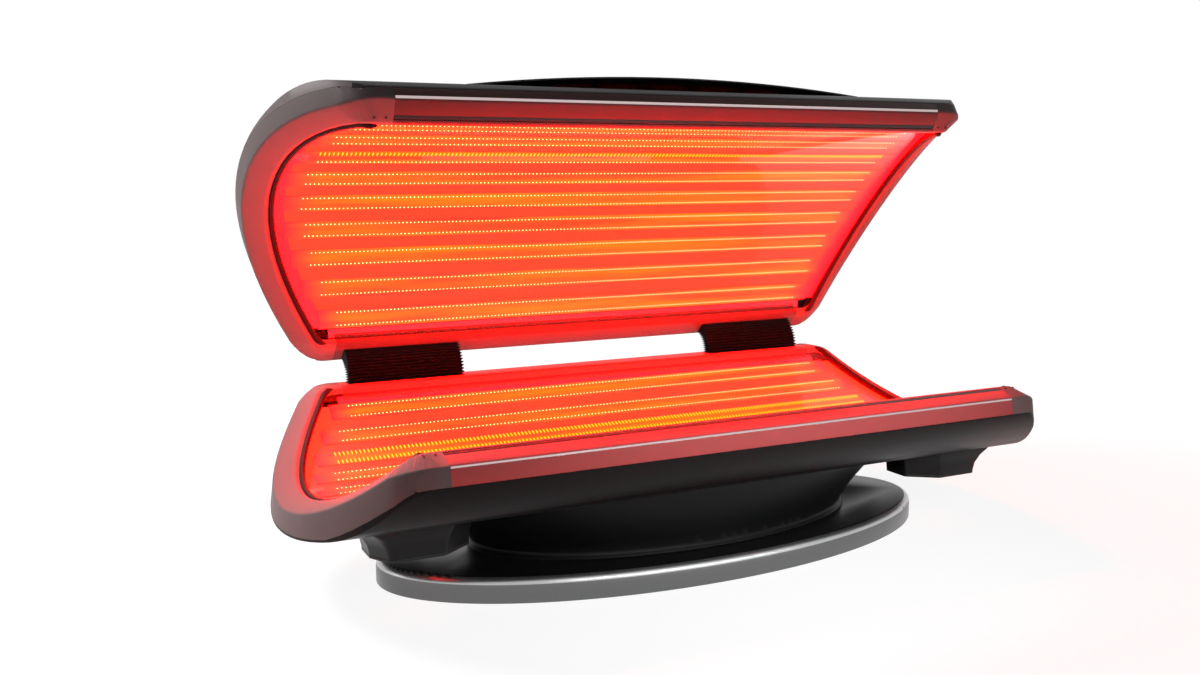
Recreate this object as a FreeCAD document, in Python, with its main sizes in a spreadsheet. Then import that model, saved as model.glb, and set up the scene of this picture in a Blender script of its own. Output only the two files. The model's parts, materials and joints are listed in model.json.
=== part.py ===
"""Red light therapy bed: a clamshell of two mirrored light troughs on an oval pedestal.

Millimetres, +X along the bed to the right, +Y to the back, +Z up, origin on the floor
under the middle of the base. The lid is modelled shut, as the mirror image of the bed
about the parting plane, and its pieces are then turned open about the hinge axis.
A drop is a depth below the parting plane in the bed, and a height above it in the lid.
"""
import FreeCAD
import Part
import Sketcher
import math
import os
import re
from FreeCAD import Placement, Rotation, Vector

SIZES = [
    ("parting_z", 460, "height of the plane where bed and lid meet"),
    ("trough_shift", 10, "middle of the trough behind the middle of the base"),
    ("ridge_half", 452, "half distance between the lip ridges, front to back"),
    ("ridge_drop", 5, "ridge below the parting plane"),
    ("lip_rise", 17, "ridge above the acrylic"),
    ("trough_depth", 183, "depth of the acrylic's arc"),
    ("seam_half", 819, "half length of the rails between the end trims"),
    ("corner_reach", 880, "ridge corner from the middle, along the bed"),
    ("end_reach", 1037, "ridge at mid depth from the middle, along the bed"),
    ("corner_round", 60, "plan radius of the ridge at a corner"),
    ("arc_stations", 10, "trim sections on half of the end's arc"),
    ("corner_stations", 5, "trim sections round a corner"),
    ("rim_width", 57, "sloping rim from ridge to edge, front and ends"),
    ("rim_fall", 23, "drop of that rim over its width"),
    ("skirt_out", 7, "outward lean of the skirt below the edge"),
    ("skirt_fall", 45, "height of the bed's skirt"),
    ("end_skirt_deep", 26, "skirt deeper round the ends"),
    ("end_skirt_start", 70, "angle of the end outline where the skirt gets deeper"),
    ("lid_skirt_fall", 28, "height of the lid's skirt"),
    ("back_ridge_fall", 9, "back rim below the front ridge"),
    ("nose_reach", 14, "lip nose inboard of the ridge"),
    ("nose_fall", 9, "drop of the lip nose"),
    ("ledge_fall", 48, "underside of the rail's inner ledge below the ridge"),
    ("rail_foot", 40, "inner end of the rail's underside outboard of the ridge"),
    ("strip_groove_start", 7, "edge of the rim groove outboard of the ridge"),
    ("strip_groove_width", 11, "width of the rim groove"),
    ("strip_groove_depth", 4, "depth of the rim groove"),
    ("rail_wall", 6, "wall of the rail extrusion"),
    ("trim_wall", 5, "wall of the moulded end trims"),
    ("fit_gap", 0.4, "clearance between pieces that fit together"),
    ("seat_gap", 0.3, "clearance between pieces that rest on each other"),
    ("acrylic_wall", 8, "acrylic sheet"),
    ("acrylic_edge_in", 2, "edge of the acrylic inboard of the ridge"),
    ("led_gap", 3, "air between acrylic and light strips"),
    ("led_strip_wall", 3, "light strip board"),
    ("led_strip_width", 56, "width of a light strip"),
    ("strip_seat", 0.05, "clearance of a light strip on the tray"),
    ("led_strip_count", 10, "light strips in each half"),
    ("led_margin", 12, "space of the outer light strips inboard of the ridge"),
    ("led_window_inset", 50, "light strip ends inboard of the ridge"),
    ("tray_wall", 3, "tray sheet behind the light strips"),
    ("tray_edge_in", 30, "long edge of the tray inboard of the ridge"),
    ("tray_margin", 44, "tray past the light strip ends"),
    ("shell_wall", 4, "hull and lid shell"),
    ("hull_drop", 266, "lowest point of the hull"),
    ("hull_shoulder_half", 305, "shoulder of the hull from the trough's middle"),
    ("hull_shoulder_drop", 226, "drop of the shoulder"),
    ("hull_flank_inset", 88, "mid flank inboard of the hull's edge"),
    ("hull_flank_drop", 165, "drop of the mid flank"),
    ("rib_wall", 5, "cross ribs of the frames"),
    ("rib_pitch", 330, "distance between cross ribs, and between the columns"),
    ("rib_half", 400, "half length of a rib"),
    ("tube_off", 215, "long tubes from the trough's middle"),
    ("tube_width", 40, "width of the long tubes"),
    ("tube_height", 30, "height of the long tubes"),
    ("tube_wall", 3, "wall of the long tubes"),
    ("tube_drop", 202, "upper face of the long tubes"),
    ("tube_half", 740, "half length of the long tubes"),
    ("driver_length", 220, "light driver box"),
    ("driver_width", 60, "width of a driver box"),
    ("driver_height", 30, "height of a driver box"),
    ("driver_drop", 188, "upper face of a driver box"),
    ("column_side", 100, "side of a square column"),
    ("column_wall", 5, "wall of a column"),
    ("saddle_half", 222, "half length of a column's saddle"),
    ("saddle_wall", 7, "saddle and foot plates"),
    ("foot_side", 180, "side of a column's foot plate"),
    ("base_shift", 8, "middle of the base oval behind the origin"),
    ("base_long", 850, "half length of the base oval"),
    ("base_short", 380, "half depth of the base oval"),
    ("base_height", 65, "height of the base cover"),
    ("base_round", 24, "edge radius of the base cover"),
    ("cover_wall", 5, "wall of the base cover and pedestal"),
    ("plate_wall", 10, "steel floor plate"),
    ("foot_long", 600, "half length of the pedestal where it meets the base"),
    ("foot_short", 288, "half depth of the pedestal where it meets the base"),
    ("waist_in", 10, "pedestal waist inboard of its foot"),
    ("waist_z", 82, "height of the waist"),
    ("crown_out", 200, "pedestal crown outboard of its foot at the ends"),
    ("crown_deep", 40, "pedestal crown outboard of its foot at front and back"),
    ("crown_curve", 1.25, "power of the crown's outward curve"),
    ("crown_z", 262, "height of the crown before the hull cuts it"),
    ("waist_rings", 3, "ovals between the foot and the waist"),
    ("crown_rings", 7, "ovals between the waist and the crown"),
    ("edge_rings", 5, "ovals round the edge of the base cover"),
    ("pod_x", 828, "fan pods from the middle"),
    ("pod_off", 222, "fan pods from the trough's middle"),
    ("pod_side", 150, "front of a pod's mouth, and its depth"),
    ("pod_spread_in", 70, "mouth wider towards the bed's middle, behind the bend"),
    ("pod_spread_out", 28, "mouth wider towards the bed's end, behind the bend"),
    ("pod_bend", 8, "bend of a mouth's sides in front of the fan's axis"),
    ("pod_rings", 4, "steps of a pod's flare"),
    ("pod_mouth_z", 158, "height of a pod's grille"),
    ("pod_top_z", 262, "height of a pod before the hull cuts it"),
    ("pod_flare_out", 78, "flare of a pod towards the bed's end"),
    ("pod_flare_in", 34, "flare of a pod on the other sides"),
    ("pod_round", 16, "corner radius of a pod"),
    ("pod_wall", 4, "wall of a pod"),
    ("grille_wall", 8, "grille plate"),
    ("grille_slot", 7, "width of a grille slot"),
    ("grille_slot_length", 112, "length of a grille slot"),
    ("grille_slot_pitch", 14, "distance between grille slots"),
    ("grille_slot_count", 8, "slots in a grille"),
    ("fan_side", 120, "side of a fan frame"),
    ("fan_height", 25, "height of a fan frame"),
    ("fan_bore", 56, "radius of a fan's throat"),
    ("fan_tip", 53, "radius of the blade tips"),
    ("fan_hub", 20, "radius of a fan's hub"),
    ("fan_hub_rise", 5, "hub above the grille"),
    ("fan_hub_height", 14, "height of the hub"),
    ("fan_boss_wall", 5, "bearing boss and its arms"),
    ("fan_shaft", 3, "radius of a fan's shaft"),
    ("fan_blades", 7, "blades of a fan"),
    ("blade_chord", 22, "chord of a blade"),
    ("blade_wall", 2, "thickness of a blade"),
    ("blade_pitch", 35, "pitch of a blade"),
    ("run_gap", 0.06, "radial clearance of a running fit"),
    ("hinge_back", 123, "hinge axis behind the back ridge"),
    ("hinge_z", 443, "height of the hinge axis"),
    ("lid_open", 44, "lid angle as it stands open"),
    ("hinge_in", 203, "hinges inboard of the seams"),
    ("hinge_pin", 10, "radius of a hinge pin"),
    ("knuckle", 22, "radius of a hinge knuckle"),
    ("lid_leaf_half", 15, "half width of the lid's hinge leaf"),
    ("bed_leaf_wall", 12, "cheeks of the bed's hinge leaf"),
    ("flange_half", 70, "half width of a hinge flange"),
    ("flange_wall", 6, "hinge flange"),
    ("flange_height", 36, "height of a hinge flange"),
    ("bolt_head", 7, "radius of a hinge bolt's head"),
    ("bolt_rise", 6, "height of a hinge bolt's head"),
    ("bolt_off", 52, "hinge bolts from the middle of the hinge"),
    ("bellows_in", 25, "outer end of a bellows inboard of the seams"),
    ("bellows_long", 356, "length of a bellows"),
    ("bellows_back", 14, "front of a bellows behind the back ridge"),
    ("bellows_deep", 46, "depth of a bellows"),
    ("bellows_pleats", 9, "pleats of a bellows"),
    ("bellows_fold", 7, "depth of a pleat"),
    ("bellows_wall", 2, "wall of a bellows"),
    ("cowl_half", 616, "half length of the vent cowl at its mouth"),
    ("cowl_front", 476, "mouth of the cowl in front of the trough's middle"),
    ("cowl_rise", 36, "mouth of the cowl above the lid shell"),
    ("cowl_wall", 5, "wall of the cowl"),
    ("vent_in", 34, "vents behind the cowl's mouth"),
    ("inlet_width", 96, "mains inlet housing"),
    ("inlet_height", 44, "height of the inlet housing"),
    ("inlet_z", 108, "underside of the inlet housing"),
    ("inlet_depth", 46, "depth of the inlet housing"),
    ("inlet_proud", 12, "inlet housing proud of the pedestal's foot"),
    ("socket_width", 34, "recess of the mains socket"),
    ("socket_height", 26, "height of the socket recess"),
    ("socket_depth", 18, "depth of the socket recess"),
    ("switch_radius", 13, "rocker's rolling radius"),
    ("switch_width", 14, "width of the rocker"),
    ("switch_sink", 6, "rocker's axis inside the housing's face"),
    ("switch_crown", 8, "ridge of the rocker from its axis"),
    ("switch_throw", 10, "rocker's tilt to each side"),
    ("trunnion", 2, "radius of the rocker's trunnions"),
    ("flange_inset", 4, "hinge flange below the back rim"),
    ("vent_count", 5, "vents in the lid shell"),
    ("vent_pitch", 150, "distance between vents"),
    ("vent_length", 110, "length of a vent"),
    ("vent_width", 24, "width of a vent"),
]

doc = FreeCAD.newDocument("light_therapy_bed")
sheet = doc.addObject("Spreadsheet::Sheet", "Sizes")
for row, (alias, value, meaning) in enumerate(SIZES, start=1):
    sheet.set("A%d" % row, meaning)
    sheet.set("B%d" % row, str(value))
    sheet.setAlias("B%d" % row, alias)
doc.recompute()


def size(alias):
    return float(sheet.get(alias))


def bound(expression):
    """Expression with each alias spelled as a cell of the sheet."""
    return re.sub(r"[a-z]\w*", lambda word: "Sizes." + word.group(0), expression)


BED = -1
LID = 1
X_AXIS = Vector(1, 0, 0)
Y_AXIS = Vector(0, 1, 0)
Z_AXIS = Vector(0, 0, 1)
MIDDLE = size("trough_shift")
BACK_RIDGE = MIDDLE + size("ridge_half")
PIVOT = Vector(0, BACK_RIDGE + size("hinge_back"), size("hinge_z"))
OPEN = Placement(Vector(), Rotation(X_AXIS, -size("lid_open")), PIVOT)

chord_drop = size("ridge_drop") + size("lip_rise")
trough_radius = (size("ridge_half") ** 2 + size("trough_depth") ** 2) / (2 * size("trough_depth"))
trough_centre = chord_drop + size("trough_depth") - trough_radius
end_bulge = size("end_reach") - size("corner_reach")
end_radius = (size("ridge_half") ** 2 + end_bulge ** 2) / (2 * end_bulge)
end_centre = size("end_reach") - end_radius
acrylic_outer = trough_radius + size("acrylic_wall")
strip_inner = acrylic_outer + size("led_gap")
tray_inner = strip_inner + size("led_strip_wall")
tray_outer = tray_inner + size("tray_wall")
skirt_reach = size("rim_width") + size("skirt_out")
far_x = size("end_reach") + 2 * skirt_reach


def height(side, drop):
    return size("parting_z") + side * drop


def skirt_alias(side):
    return "skirt_fall" if side == BED else "lid_skirt_fall"


def skirt_drop(side):
    """Lower edge of a skirt below the ridge."""
    return size("rim_fall") + size(skirt_alias(side))


def trough_drop(y):
    """Drop of the acrylic's inner face at y, on the trough's arc."""
    return trough_centre + math.sqrt(trough_radius ** 2 - (y - MIDDLE) ** 2)


def add_shape(label, shape, side=BED):
    """A sub-part made with Part's own functions, open if it belongs to the lid."""
    feature = doc.addObject("Part::Feature", label)
    feature.Label = label
    feature.Shape = shape
    feature.Placement = OPEN.multiply(shape.Placement) if side == LID else shape.Placement
    return feature


def prism(points, direction):
    """A solid from a closed run of corner points."""
    return Part.Face(Part.makePolygon(points + points[:1])).extrude(direction)


def mirrored(shape):
    return shape.mirror(Vector(), X_AXIS)


def tube_along_x(radius, side):
    """A long cylinder about the trough's axis."""
    start = Vector(-far_x, MIDDLE, height(side, trough_centre))
    return Part.makeCylinder(radius, 2 * far_x, start, X_AXIS)


# The ridge seen from above: a straight run, a round corner and a wide arc round the end.
round_back = size("ridge_half") - size("corner_round")
corner_x = end_centre + math.sqrt((end_radius - size("corner_round")) ** 2 - round_back ** 2)
corner_angle = math.degrees(math.atan2(round_back, corner_x - end_centre))


def ridge_at(angle):
    """Ridge point whose outward normal has this angle from +X, in plan."""
    turn = math.radians(angle)
    normal = Vector(math.cos(turn), math.sin(turn), 0)
    if abs(angle) <= corner_angle:
        return Vector(end_centre, MIDDLE, 0) + normal * end_radius, normal
    centre = Vector(corner_x, MIDDLE + math.copysign(round_back, angle), 0)
    return centre + normal * size("corner_round"), normal


def end_stations():
    """Ridge points, normals and angles round the right end, from front seam to back seam."""
    arc_steps = int(size("arc_stations"))
    corner_steps = int(size("corner_stations"))
    arc = [corner_angle * step / arc_steps for step in range(1, arc_steps)]
    corner = [corner_angle + (90 - corner_angle) * step / corner_steps for step in range(corner_steps + 1)]
    half = arc + corner
    angles = [-angle for angle in reversed(half)] + [0] + half
    stations = [ridge_at(angle) + (angle,) for angle in angles]
    front = Vector(size("seam_half"), MIDDLE - size("ridge_half"), 0)
    back = Vector(size("seam_half"), MIDDLE + size("ridge_half"), 0)
    return [(front, -Y_AXIS, -90)] + stations + [(back, Y_AXIS, 90)]


def back_share(angle):
    """0 on the front and end of the rim, 1 on the back, with a smooth change between."""
    share = min(max((angle - corner_angle) / (90 - corner_angle), 0), 1)
    return share * share * (3 - 2 * share)


def mix(front, back, angle):
    return front + (back - front) * back_share(angle)


def ridge_drop_at(point):
    return trough_drop(point.y) - size("lip_rise")


def skirt_drop_at(side, point, normal, angle):
    """Lower edge of a skirt: deeper round the ends, and always above the hull's belly."""
    start = size("end_skirt_start")
    share = min(max((start - abs(angle)) / (start - corner_angle), 0), 1)
    deep = size("end_skirt_deep") * share * share * (3 - 2 * share)
    belly_rise = size("hull_drop") - size("hull_shoulder_drop")
    belly_radius = (size("hull_shoulder_half") ** 2 + belly_rise ** 2) / (2 * belly_rise)
    across = abs((point + normal * skirt_reach).y - MIDDLE)
    across = min(across, size("hull_shoulder_half"))
    belly = size("hull_drop") - belly_radius + math.sqrt(belly_radius ** 2 - across ** 2)
    return min(ridge_drop_at(point) + skirt_drop(side) + deep, belly - 1.5 * size("shell_wall"))


def plan_face(off):
    """Outline at an offset from the ridge, on the plane z = 0: lines, round corners and end arcs."""
    stops = [-90, -corner_angle, corner_angle, 90]
    ends = []
    for way in (1, -1):
        for first, last in zip(stops, stops[1:]):
            points = []
            for angle in (first, (first + last) / 2, last):
                point, normal = ridge_at(angle)
                place = point + normal * off
                points.append(Vector(way * place.x, place.y, 0))
            ends.append(Part.Arc(*points).toShape())
    for angle in (stops[0], stops[-1]):
        point, normal = ridge_at(angle)
        place = point + normal * off
        ends.append(Part.LineSegment(Vector(-place.x, place.y, 0), place).toShape())
    return Part.Face(Part.Wire(Part.__sortEdges__(ends)))


def plan_prism(off):
    """Upright prism of that outline, taller than the shut bed."""
    return plan_face(off).extrude(Z_AXIS * 2 * size("parting_z"))


def skirt_edge(side):
    """The skirts' lower edge a seat gap away, seen along the bed and run on past both seams."""
    points = []
    for point, normal, angle in end_stations()[1:-1]:
        out = point + normal * skirt_reach
        drop = skirt_drop_at(side, point, normal, angle) + size("seat_gap")
        points.append(Vector(0, out.y, height(side, drop)))
    points[0] += points[0] - points[1]
    points[-1] += points[-1] - points[-2]
    return points


def profile_edges(side, inset):
    """Hull profile across the bed: flank, belly and flank arcs, inset from the outer skin."""
    edge = skirt_edge(side)
    slant = inset / math.sqrt(2)
    arcs = []
    shoulders = []
    for start, way in ((edge[0], 1), (edge[-1], -1)):
        flank_y = start.y + way * (size("hull_flank_inset") + slant)
        start = start + Y_AXIS * way * inset
        flank = Vector(0, flank_y, height(side, size("hull_flank_drop") - slant))
        shoulder_y = MIDDLE - way * (size("hull_shoulder_half") - inset / 4)
        shoulder = Vector(0, shoulder_y, height(side, size("hull_shoulder_drop") - inset))
        arcs.append(Part.Arc(start, flank, shoulder))
        shoulders.append(shoulder)
    belly = Vector(0, MIDDLE, height(side, size("hull_drop") - inset))
    arcs.insert(1, Part.Arc(shoulders[0], belly, shoulders[1]))
    return [arc.toShape() for arc in arcs], arcs[0].StartPoint, arcs[2].StartPoint


def profile_prism(side, inset, closing):
    """Solid along the whole bed on the open side of the profile, closed by these edges."""
    edges, front, back = profile_edges(side, inset)
    wire = Part.Wire(Part.__sortEdges__(edges + closing(front, back)))
    solid = Part.Face(wire).extrude(X_AXIS * 2 * far_x)
    return solid.translated(-X_AXIS * far_x)


def upright_closing(side):
    """Straight walls from the profile's ends to past the parting plane."""
    rise = Vector(0, 0, -side * size("hull_drop"))

    def edges(front, back):
        corners = [front, front + rise, back + rise, back]
        return [Part.LineSegment(a, b).toShape() for a, b in zip(corners, corners[1:])]
    return edges


def skirt_closing(side):
    """The skirts' lower edge from station to station."""
    def edges(front, back):
        return Part.makePolygon([front] + skirt_edge(side)[1:-1] + [back]).Edges
    return edges


def boat(side, inset, closing):
    """Profile prism cut to the plan outline of the skirts."""
    return profile_prism(side, inset, closing).common(plan_prism(skirt_reach - inset))


def make_shell(side):
    """Thin moulded hull, open towards the trough."""
    wall = size("shell_wall")
    return boat(side, 0, skirt_closing(side)).cut(boat(side, wall, upright_closing(side)))


def trim_section(side, point, normal, angle):
    """Closed section of an end trim: lip nose, ridge, rim, skirt and the inside of its wall."""
    wall = size("trim_wall")
    ridge = ridge_drop_at(point)
    nose = -size("nose_reach")

    def on_acrylic(off):
        return trough_drop((point + normal * off).y) - ridge - size("fit_gap")
    back_fall = size("back_ridge_fall")
    edge = mix(size("rim_width"), skirt_reach, angle)
    edge_fall = mix(size("rim_fall"), back_fall, angle)
    skirt_low = skirt_drop_at(side, point, normal, angle) - ridge
    corners = [
        (nose, mix(size("nose_fall"), size("nose_fall") + back_fall / 2, angle)),
        (0, mix(0, back_fall, angle)),
        (edge, edge_fall),
        (skirt_reach, skirt_low),
        (skirt_reach - wall, skirt_low),
        (edge - wall, edge_fall + wall),
        (0, on_acrylic(0)),
        (nose, on_acrylic(nose)),
    ]
    points = []
    for off, fall in corners:
        place = point + normal * off
        points.append(Vector(place.x, place.y, height(side, ridge + fall)))
    return Part.makePolygon(points + points[:1])


def make_trim(side):
    """Right end trim, lofted round the end from seam to seam."""
    sections = [trim_section(side, *station) for station in end_stations()]
    return Part.makeLoft(sections, True, True)


def sheet_ring(side, inner, outer):
    return tube_along_x(outer, side).cut(tube_along_x(inner, side))


def make_acrylic(side):
    return sheet_ring(side, trough_radius, acrylic_outer).common(plan_prism(-size("acrylic_edge_in")))


def make_tray(side):
    """Tray sheet bent to the trough, with its long edges cut square to its face."""
    ring = sheet_ring(side, tray_inner, tray_outer)
    inset = size("tray_margin") - size("led_window_inset")
    half = math.asin((size("ridge_half") - size("tray_edge_in")) / tray_inner)
    centre = Vector(-far_x, MIDDLE, height(side, trough_centre))
    reach = 2 * tray_outer
    corners = [centre]
    for turn in (-half, half):
        corners.append(centre + Vector(0, math.sin(turn), side * math.cos(turn)) * reach)
    wedge = prism(corners, X_AXIS * 2 * far_x)
    return ring.common(wedge).common(plan_prism(inset))


def make_strips(side):
    """Light strip boards laid along the trough, each as long as the end outline lets it be."""
    strips = []
    count = int(size("led_strip_count"))
    pitch = 2 * math.asin((size("ridge_half") - size("led_margin")) / tray_inner) / count
    width = size("led_strip_width")
    back = math.sqrt(tray_inner ** 2 - (width / 2) ** 2) - size("strip_seat")
    front = back - size("led_strip_wall") + size("strip_seat")
    for index in range(count):
        turn = (index - (count - 1) / 2) * pitch
        reach = math.sqrt(end_radius ** 2 - (tray_inner * math.sin(turn)) ** 2)
        half = end_centre + reach - size("led_window_inset")
        board = Part.makeBox(2 * half, width, back - front, Vector(-half, -width / 2, front))
        board.rotate(Vector(), X_AXIS, math.degrees(turn) if side == LID else 180 - math.degrees(turn))
        strips.append(board.translated(Vector(0, MIDDLE, height(side, trough_centre))))
    return Part.makeCompound(strips)


def make_frame(side):
    """Welded frame: ribs shaped to the tray and the hull, on two long tubes."""
    wall = size("rib_wall")
    inset = size("shell_wall") + size("fit_gap")
    hollow = profile_prism(side, inset, upright_closing(side))
    hollow = hollow.cut(tube_along_x(tray_outer + size("seat_gap"), side))
    low = min(height(side, size("hull_drop")), size("parting_z"))
    solids = []
    for step in (-2, -1, 0, 1, 2):
        corner = Vector(step * size("rib_pitch") - wall / 2, MIDDLE - size("rib_half"), low)
        solids.append(hollow.common(Part.makeBox(wall, 2 * size("rib_half"), size("hull_drop"), corner)))
    cores = []
    for way in (-1, 1):
        for shrink, group in ((0, solids), (size("tube_wall"), cores)):
            tall = size("tube_height") - 2 * shrink
            drop = size("tube_drop") + shrink + (tall if side == BED else 0)
            y = MIDDLE + way * size("tube_off") - size("tube_width") / 2 + shrink
            corner = Vector(-size("tube_half"), y, height(side, drop))
            group.append(Part.makeBox(2 * size("tube_half"), size("tube_width") - 2 * shrink, tall, corner))
    frame = solids[0].fuse(solids[1:]).removeSplitter()
    return frame.cut(cores)


def polygon_sketch(body, name, role, loops):
    """Sketch of closed loops, each corner held at a pair of expressions from the origin."""
    sketch = body.newObject("Sketcher::SketchObject", name)
    plane = [item for item in body.Origin.OriginFeatures if item.Role == role][0]
    sketch.AttachmentSupport = [(plane, "")]
    sketch.MapMode = "FlatFace"
    for loop in loops:
        first = sketch.GeometryCount
        corners = [Vector(sheet.evalExpression(h), sheet.evalExpression(v), 0) for h, v in loop]
        for start, end in zip(corners, corners[1:] + corners[:1]):
            sketch.addGeometry(Part.LineSegment(start, end))
        for index in range(len(loop)):
            after = first + (index + 1) % len(loop)
            sketch.addConstraint(Sketcher.Constraint("Coincident", first + index, 2, after, 1))
        for index, (corner, place) in enumerate(zip(loop, corners)):
            for kind, expression, value in zip(("DistanceX", "DistanceY"), corner, place):
                held = sketch.addConstraint(Sketcher.Constraint(kind, -1, 1, first + index, 1, value))
                sketch.setExpression("Constraints[%d]" % held, bound(expression))
    return sketch


def padded_body(name, role, loops, length):
    """Body of one sketch padded by a length expression."""
    body = doc.addObject("PartDesign::Body", name)
    pad = body.newObject("PartDesign::Pad", name + "_pad")
    pad.Profile = polygon_sketch(body, name + "_sketch", role, loops)
    pad.setExpression("Length", bound(length))
    return body


def rail_loops(side, way):
    """Corner expressions of a rail's section and of its chamber, in y and z."""
    sign = "+" if side == LID else "-"
    along = "+" if way > 0 else "-"

    def corner(off, fall):
        y = "trough_shift %s (ridge_half + %s)" % (along, off)
        z = "parting_z %s (ridge_drop + %s)" % (sign, fall)
        return y, z
    slope = "rim_fall / rim_width"
    groove_end = "(strip_groove_start + strip_groove_width)"
    chamber = "(strip_groove_start + strip_groove_width + rail_wall)"
    foot = "rim_fall + " + skirt_alias(side)
    shared = [corner("rail_foot", foot), corner("(-nose_reach)", "ledge_fall")]
    low = foot + " - rail_wall"
    inner_low = [corner("rail_foot", low), corner(chamber, "(ledge_fall + %s) / 2 - rail_wall" % foot)]
    if way > 0:
        flat = "back_ridge_fall"
        outer = [
            corner("(-nose_reach)", "nose_fall + back_ridge_fall / 2"), corner("0", flat),
            corner("rim_width + skirt_out", flat), corner("rim_width + skirt_out", foot)]
        roof = flat + " + rail_wall"
        wall_in = "rim_width + skirt_out - rail_wall"
        inner = [corner(chamber, roof), corner(wall_in, roof), corner(wall_in, low)]
    else:
        outer = [
            corner("(-nose_reach)", "nose_fall"), corner("0", "0"),
            corner("strip_groove_start", "strip_groove_start * %s" % slope),
            corner("strip_groove_start", "strip_groove_start * %s + strip_groove_depth" % slope),
            corner(groove_end, "%s * %s + strip_groove_depth" % (groove_end, slope)),
            corner(groove_end, "%s * %s" % (groove_end, slope)),
            corner("rim_width", "rim_fall"), corner("rim_width + skirt_out", foot)]
        wall_in = "(rim_width - rail_wall)"
        inner = [
            corner(chamber, "%s * %s + rail_wall" % (chamber, slope)),
            corner(wall_in, "%s * %s + rail_wall" % (wall_in, slope)),
            corner("rim_width + skirt_out / 2 - rail_wall", low)]
    return [outer + shared, inner + inner_low]


def make_rail(label, side, way, slot):
    """Extruded rail with the slot that holds the acrylic's edge."""
    loops = rail_loops(side, way)
    body = padded_body(label + "_extrusion", "YZ_Plane", loops, "2 * seam_half - 2 * seat_gap")
    body.setExpression("Placement.Base.x", bound("seat_gap - seam_half"))
    rail = doc.addObject("Part::Cut", label)
    rail.Base = body
    rail.Tool = slot
    rail.Label = label
    return rail


def make_slot(side):
    """Space that the acrylic's long edges need inside the rails."""
    gap = size("fit_gap")
    ring = sheet_ring(side, trough_radius - gap, acrylic_outer + gap)
    half = size("ridge_half") - size("acrylic_edge_in") + gap
    low = min(height(side, size("hull_drop")), size("parting_z"))
    room = Part.makeBox(2 * far_x, 2 * half, size("hull_drop"), Vector(-far_x, MIDDLE - half, low))
    slot = doc.addObject("Part::Feature", "slot")
    slot.Shape = ring.common(room)
    return slot


def oval_loft(name, long, short, rings):
    """Solid through upright ovals, each at a height and drawn inward in length and in depth."""
    ovals = []
    for index, (z, long_in, short_in) in enumerate(rings):
        oval = doc.addObject("Part::Ellipse", "%s_oval_%d" % (name, index))
        oval.setExpression("MajorRadius", bound("%s - (%s)" % (long, long_in)))
        oval.setExpression("MinorRadius", bound("%s - (%s)" % (short, short_in)))
        oval.setExpression("Placement.Base.y", bound("base_shift"))
        oval.setExpression("Placement.Base.z", bound(z))
        ovals.append(oval)
    loft = doc.addObject("Part::Loft", name)
    loft.Sections = ovals
    loft.Solid = True
    loft.Ruled = True
    loft.Label = name
    return loft


def cut(label, base, tool):
    piece = doc.addObject("Part::Cut", label)
    piece.Base = base
    piece.Tool = tool
    piece.Label = label
    return piece


def box(name, sizes, corner):
    """Box from three size expressions and three corner expressions."""
    block = doc.addObject("Part::Box", name)
    for prop, expression in zip(("Length", "Width", "Height"), sizes):
        block.setExpression(prop, bound(expression))
    for axis, expression in zip("xyz", corner):
        block.setExpression("Placement.Base." + axis, bound(expression))
    return block


def joined(label, pieces):
    whole = doc.addObject("Part::MultiFuse", label)
    whole.Shapes = pieces
    whole.Refine = True
    whole.Label = label
    return whole


def hidden_tool(name, shape):
    """A cutting shape that is not a piece of the bed."""
    tool = doc.addObject("Part::Feature", name)
    tool.Shape = shape
    return tool


# Base: a steel floor plate inside a moulded oval cover, open under the pedestal.
plate_in = "cover_wall + fit_gap"
plate_rings = [(z, plate_in, plate_in) for z in ("0", "plate_wall")]
oval_loft("base_plate", "base_long", "base_short", plate_rings)


def rounded_oval(name, inset, low):
    """Oval block of the base with its upper edge rounded, at an inset from the cover's skin."""
    rings = [(low, inset, inset)]
    steps = int(size("edge_rings"))
    for step in range(steps + 1):
        turn = math.radians(90 * step / steps)
        inward = "base_round - (base_round - %s) * %.4f" % (inset, math.cos(turn))
        z = "base_height - base_round + (base_round - %s) * %.4f" % (inset, math.sin(turn))
        rings.append((z, inward, inward))
    return oval_loft(name, "base_long", "base_short", rings)


cover_outer = rounded_oval("cover_outer", "0", "0")
cover_inner = rounded_oval("cover_inner", "cover_wall", "-cover_wall")
mouth_in = "waist_in + 2 * cover_wall"
mouth_rings = [(z, mouth_in, mouth_in) for z in ("0", "2 * base_height")]
cover_mouth = oval_loft("cover_mouth", "foot_long", "foot_short", mouth_rings)
base_cover = cut("base_cover", cut("cover_shell", cover_outer, cover_inner), cover_mouth)

# Bed and lid share their sections: shell, trims, rails, acrylic, light strips, tray and frame.
halves = {}
for side, half in ((BED, "bed"), (LID, "lid")):
    slot = make_slot(side)
    shell = make_shell(side)
    halves[side] = {
        "shell": shell,
        "front_rail": make_rail(half + "_front_rail", side, -1, slot),
        "back_rail": make_rail(half + "_back_rail", side, 1, slot),
    }
    right_trim = make_trim(side)
    add_shape(half + "_right_end_trim", right_trim, side)
    add_shape(half + "_left_end_trim", mirrored(right_trim), side)
    add_shape(half + "_acrylic", make_acrylic(side), side)
    add_shape(half + "_light_tray", make_tray(side), side)
    add_shape(half + "_light_strips", make_strips(side), side)
    add_shape(half + "_frame", make_frame(side), side)
doc.recompute()
for rail in (halves[LID]["front_rail"], halves[LID]["back_rail"]):
    rail.Placement = OPEN

# Fan pods under the hull: flared housings with a grille, each round an axial fan.
pod_places = []
for lengthwise, side_word in ((-1, "left"), (1, "right")):
    for depthwise, end_word in ((-1, "front"), (1, "back")):
        place = Vector(lengthwise * size("pod_x"), MIDDLE + depthwise * size("pod_off"), 0)
        pod_places.append((place, (lengthwise, depthwise), "%s_%s" % (end_word, side_word)))


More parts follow.
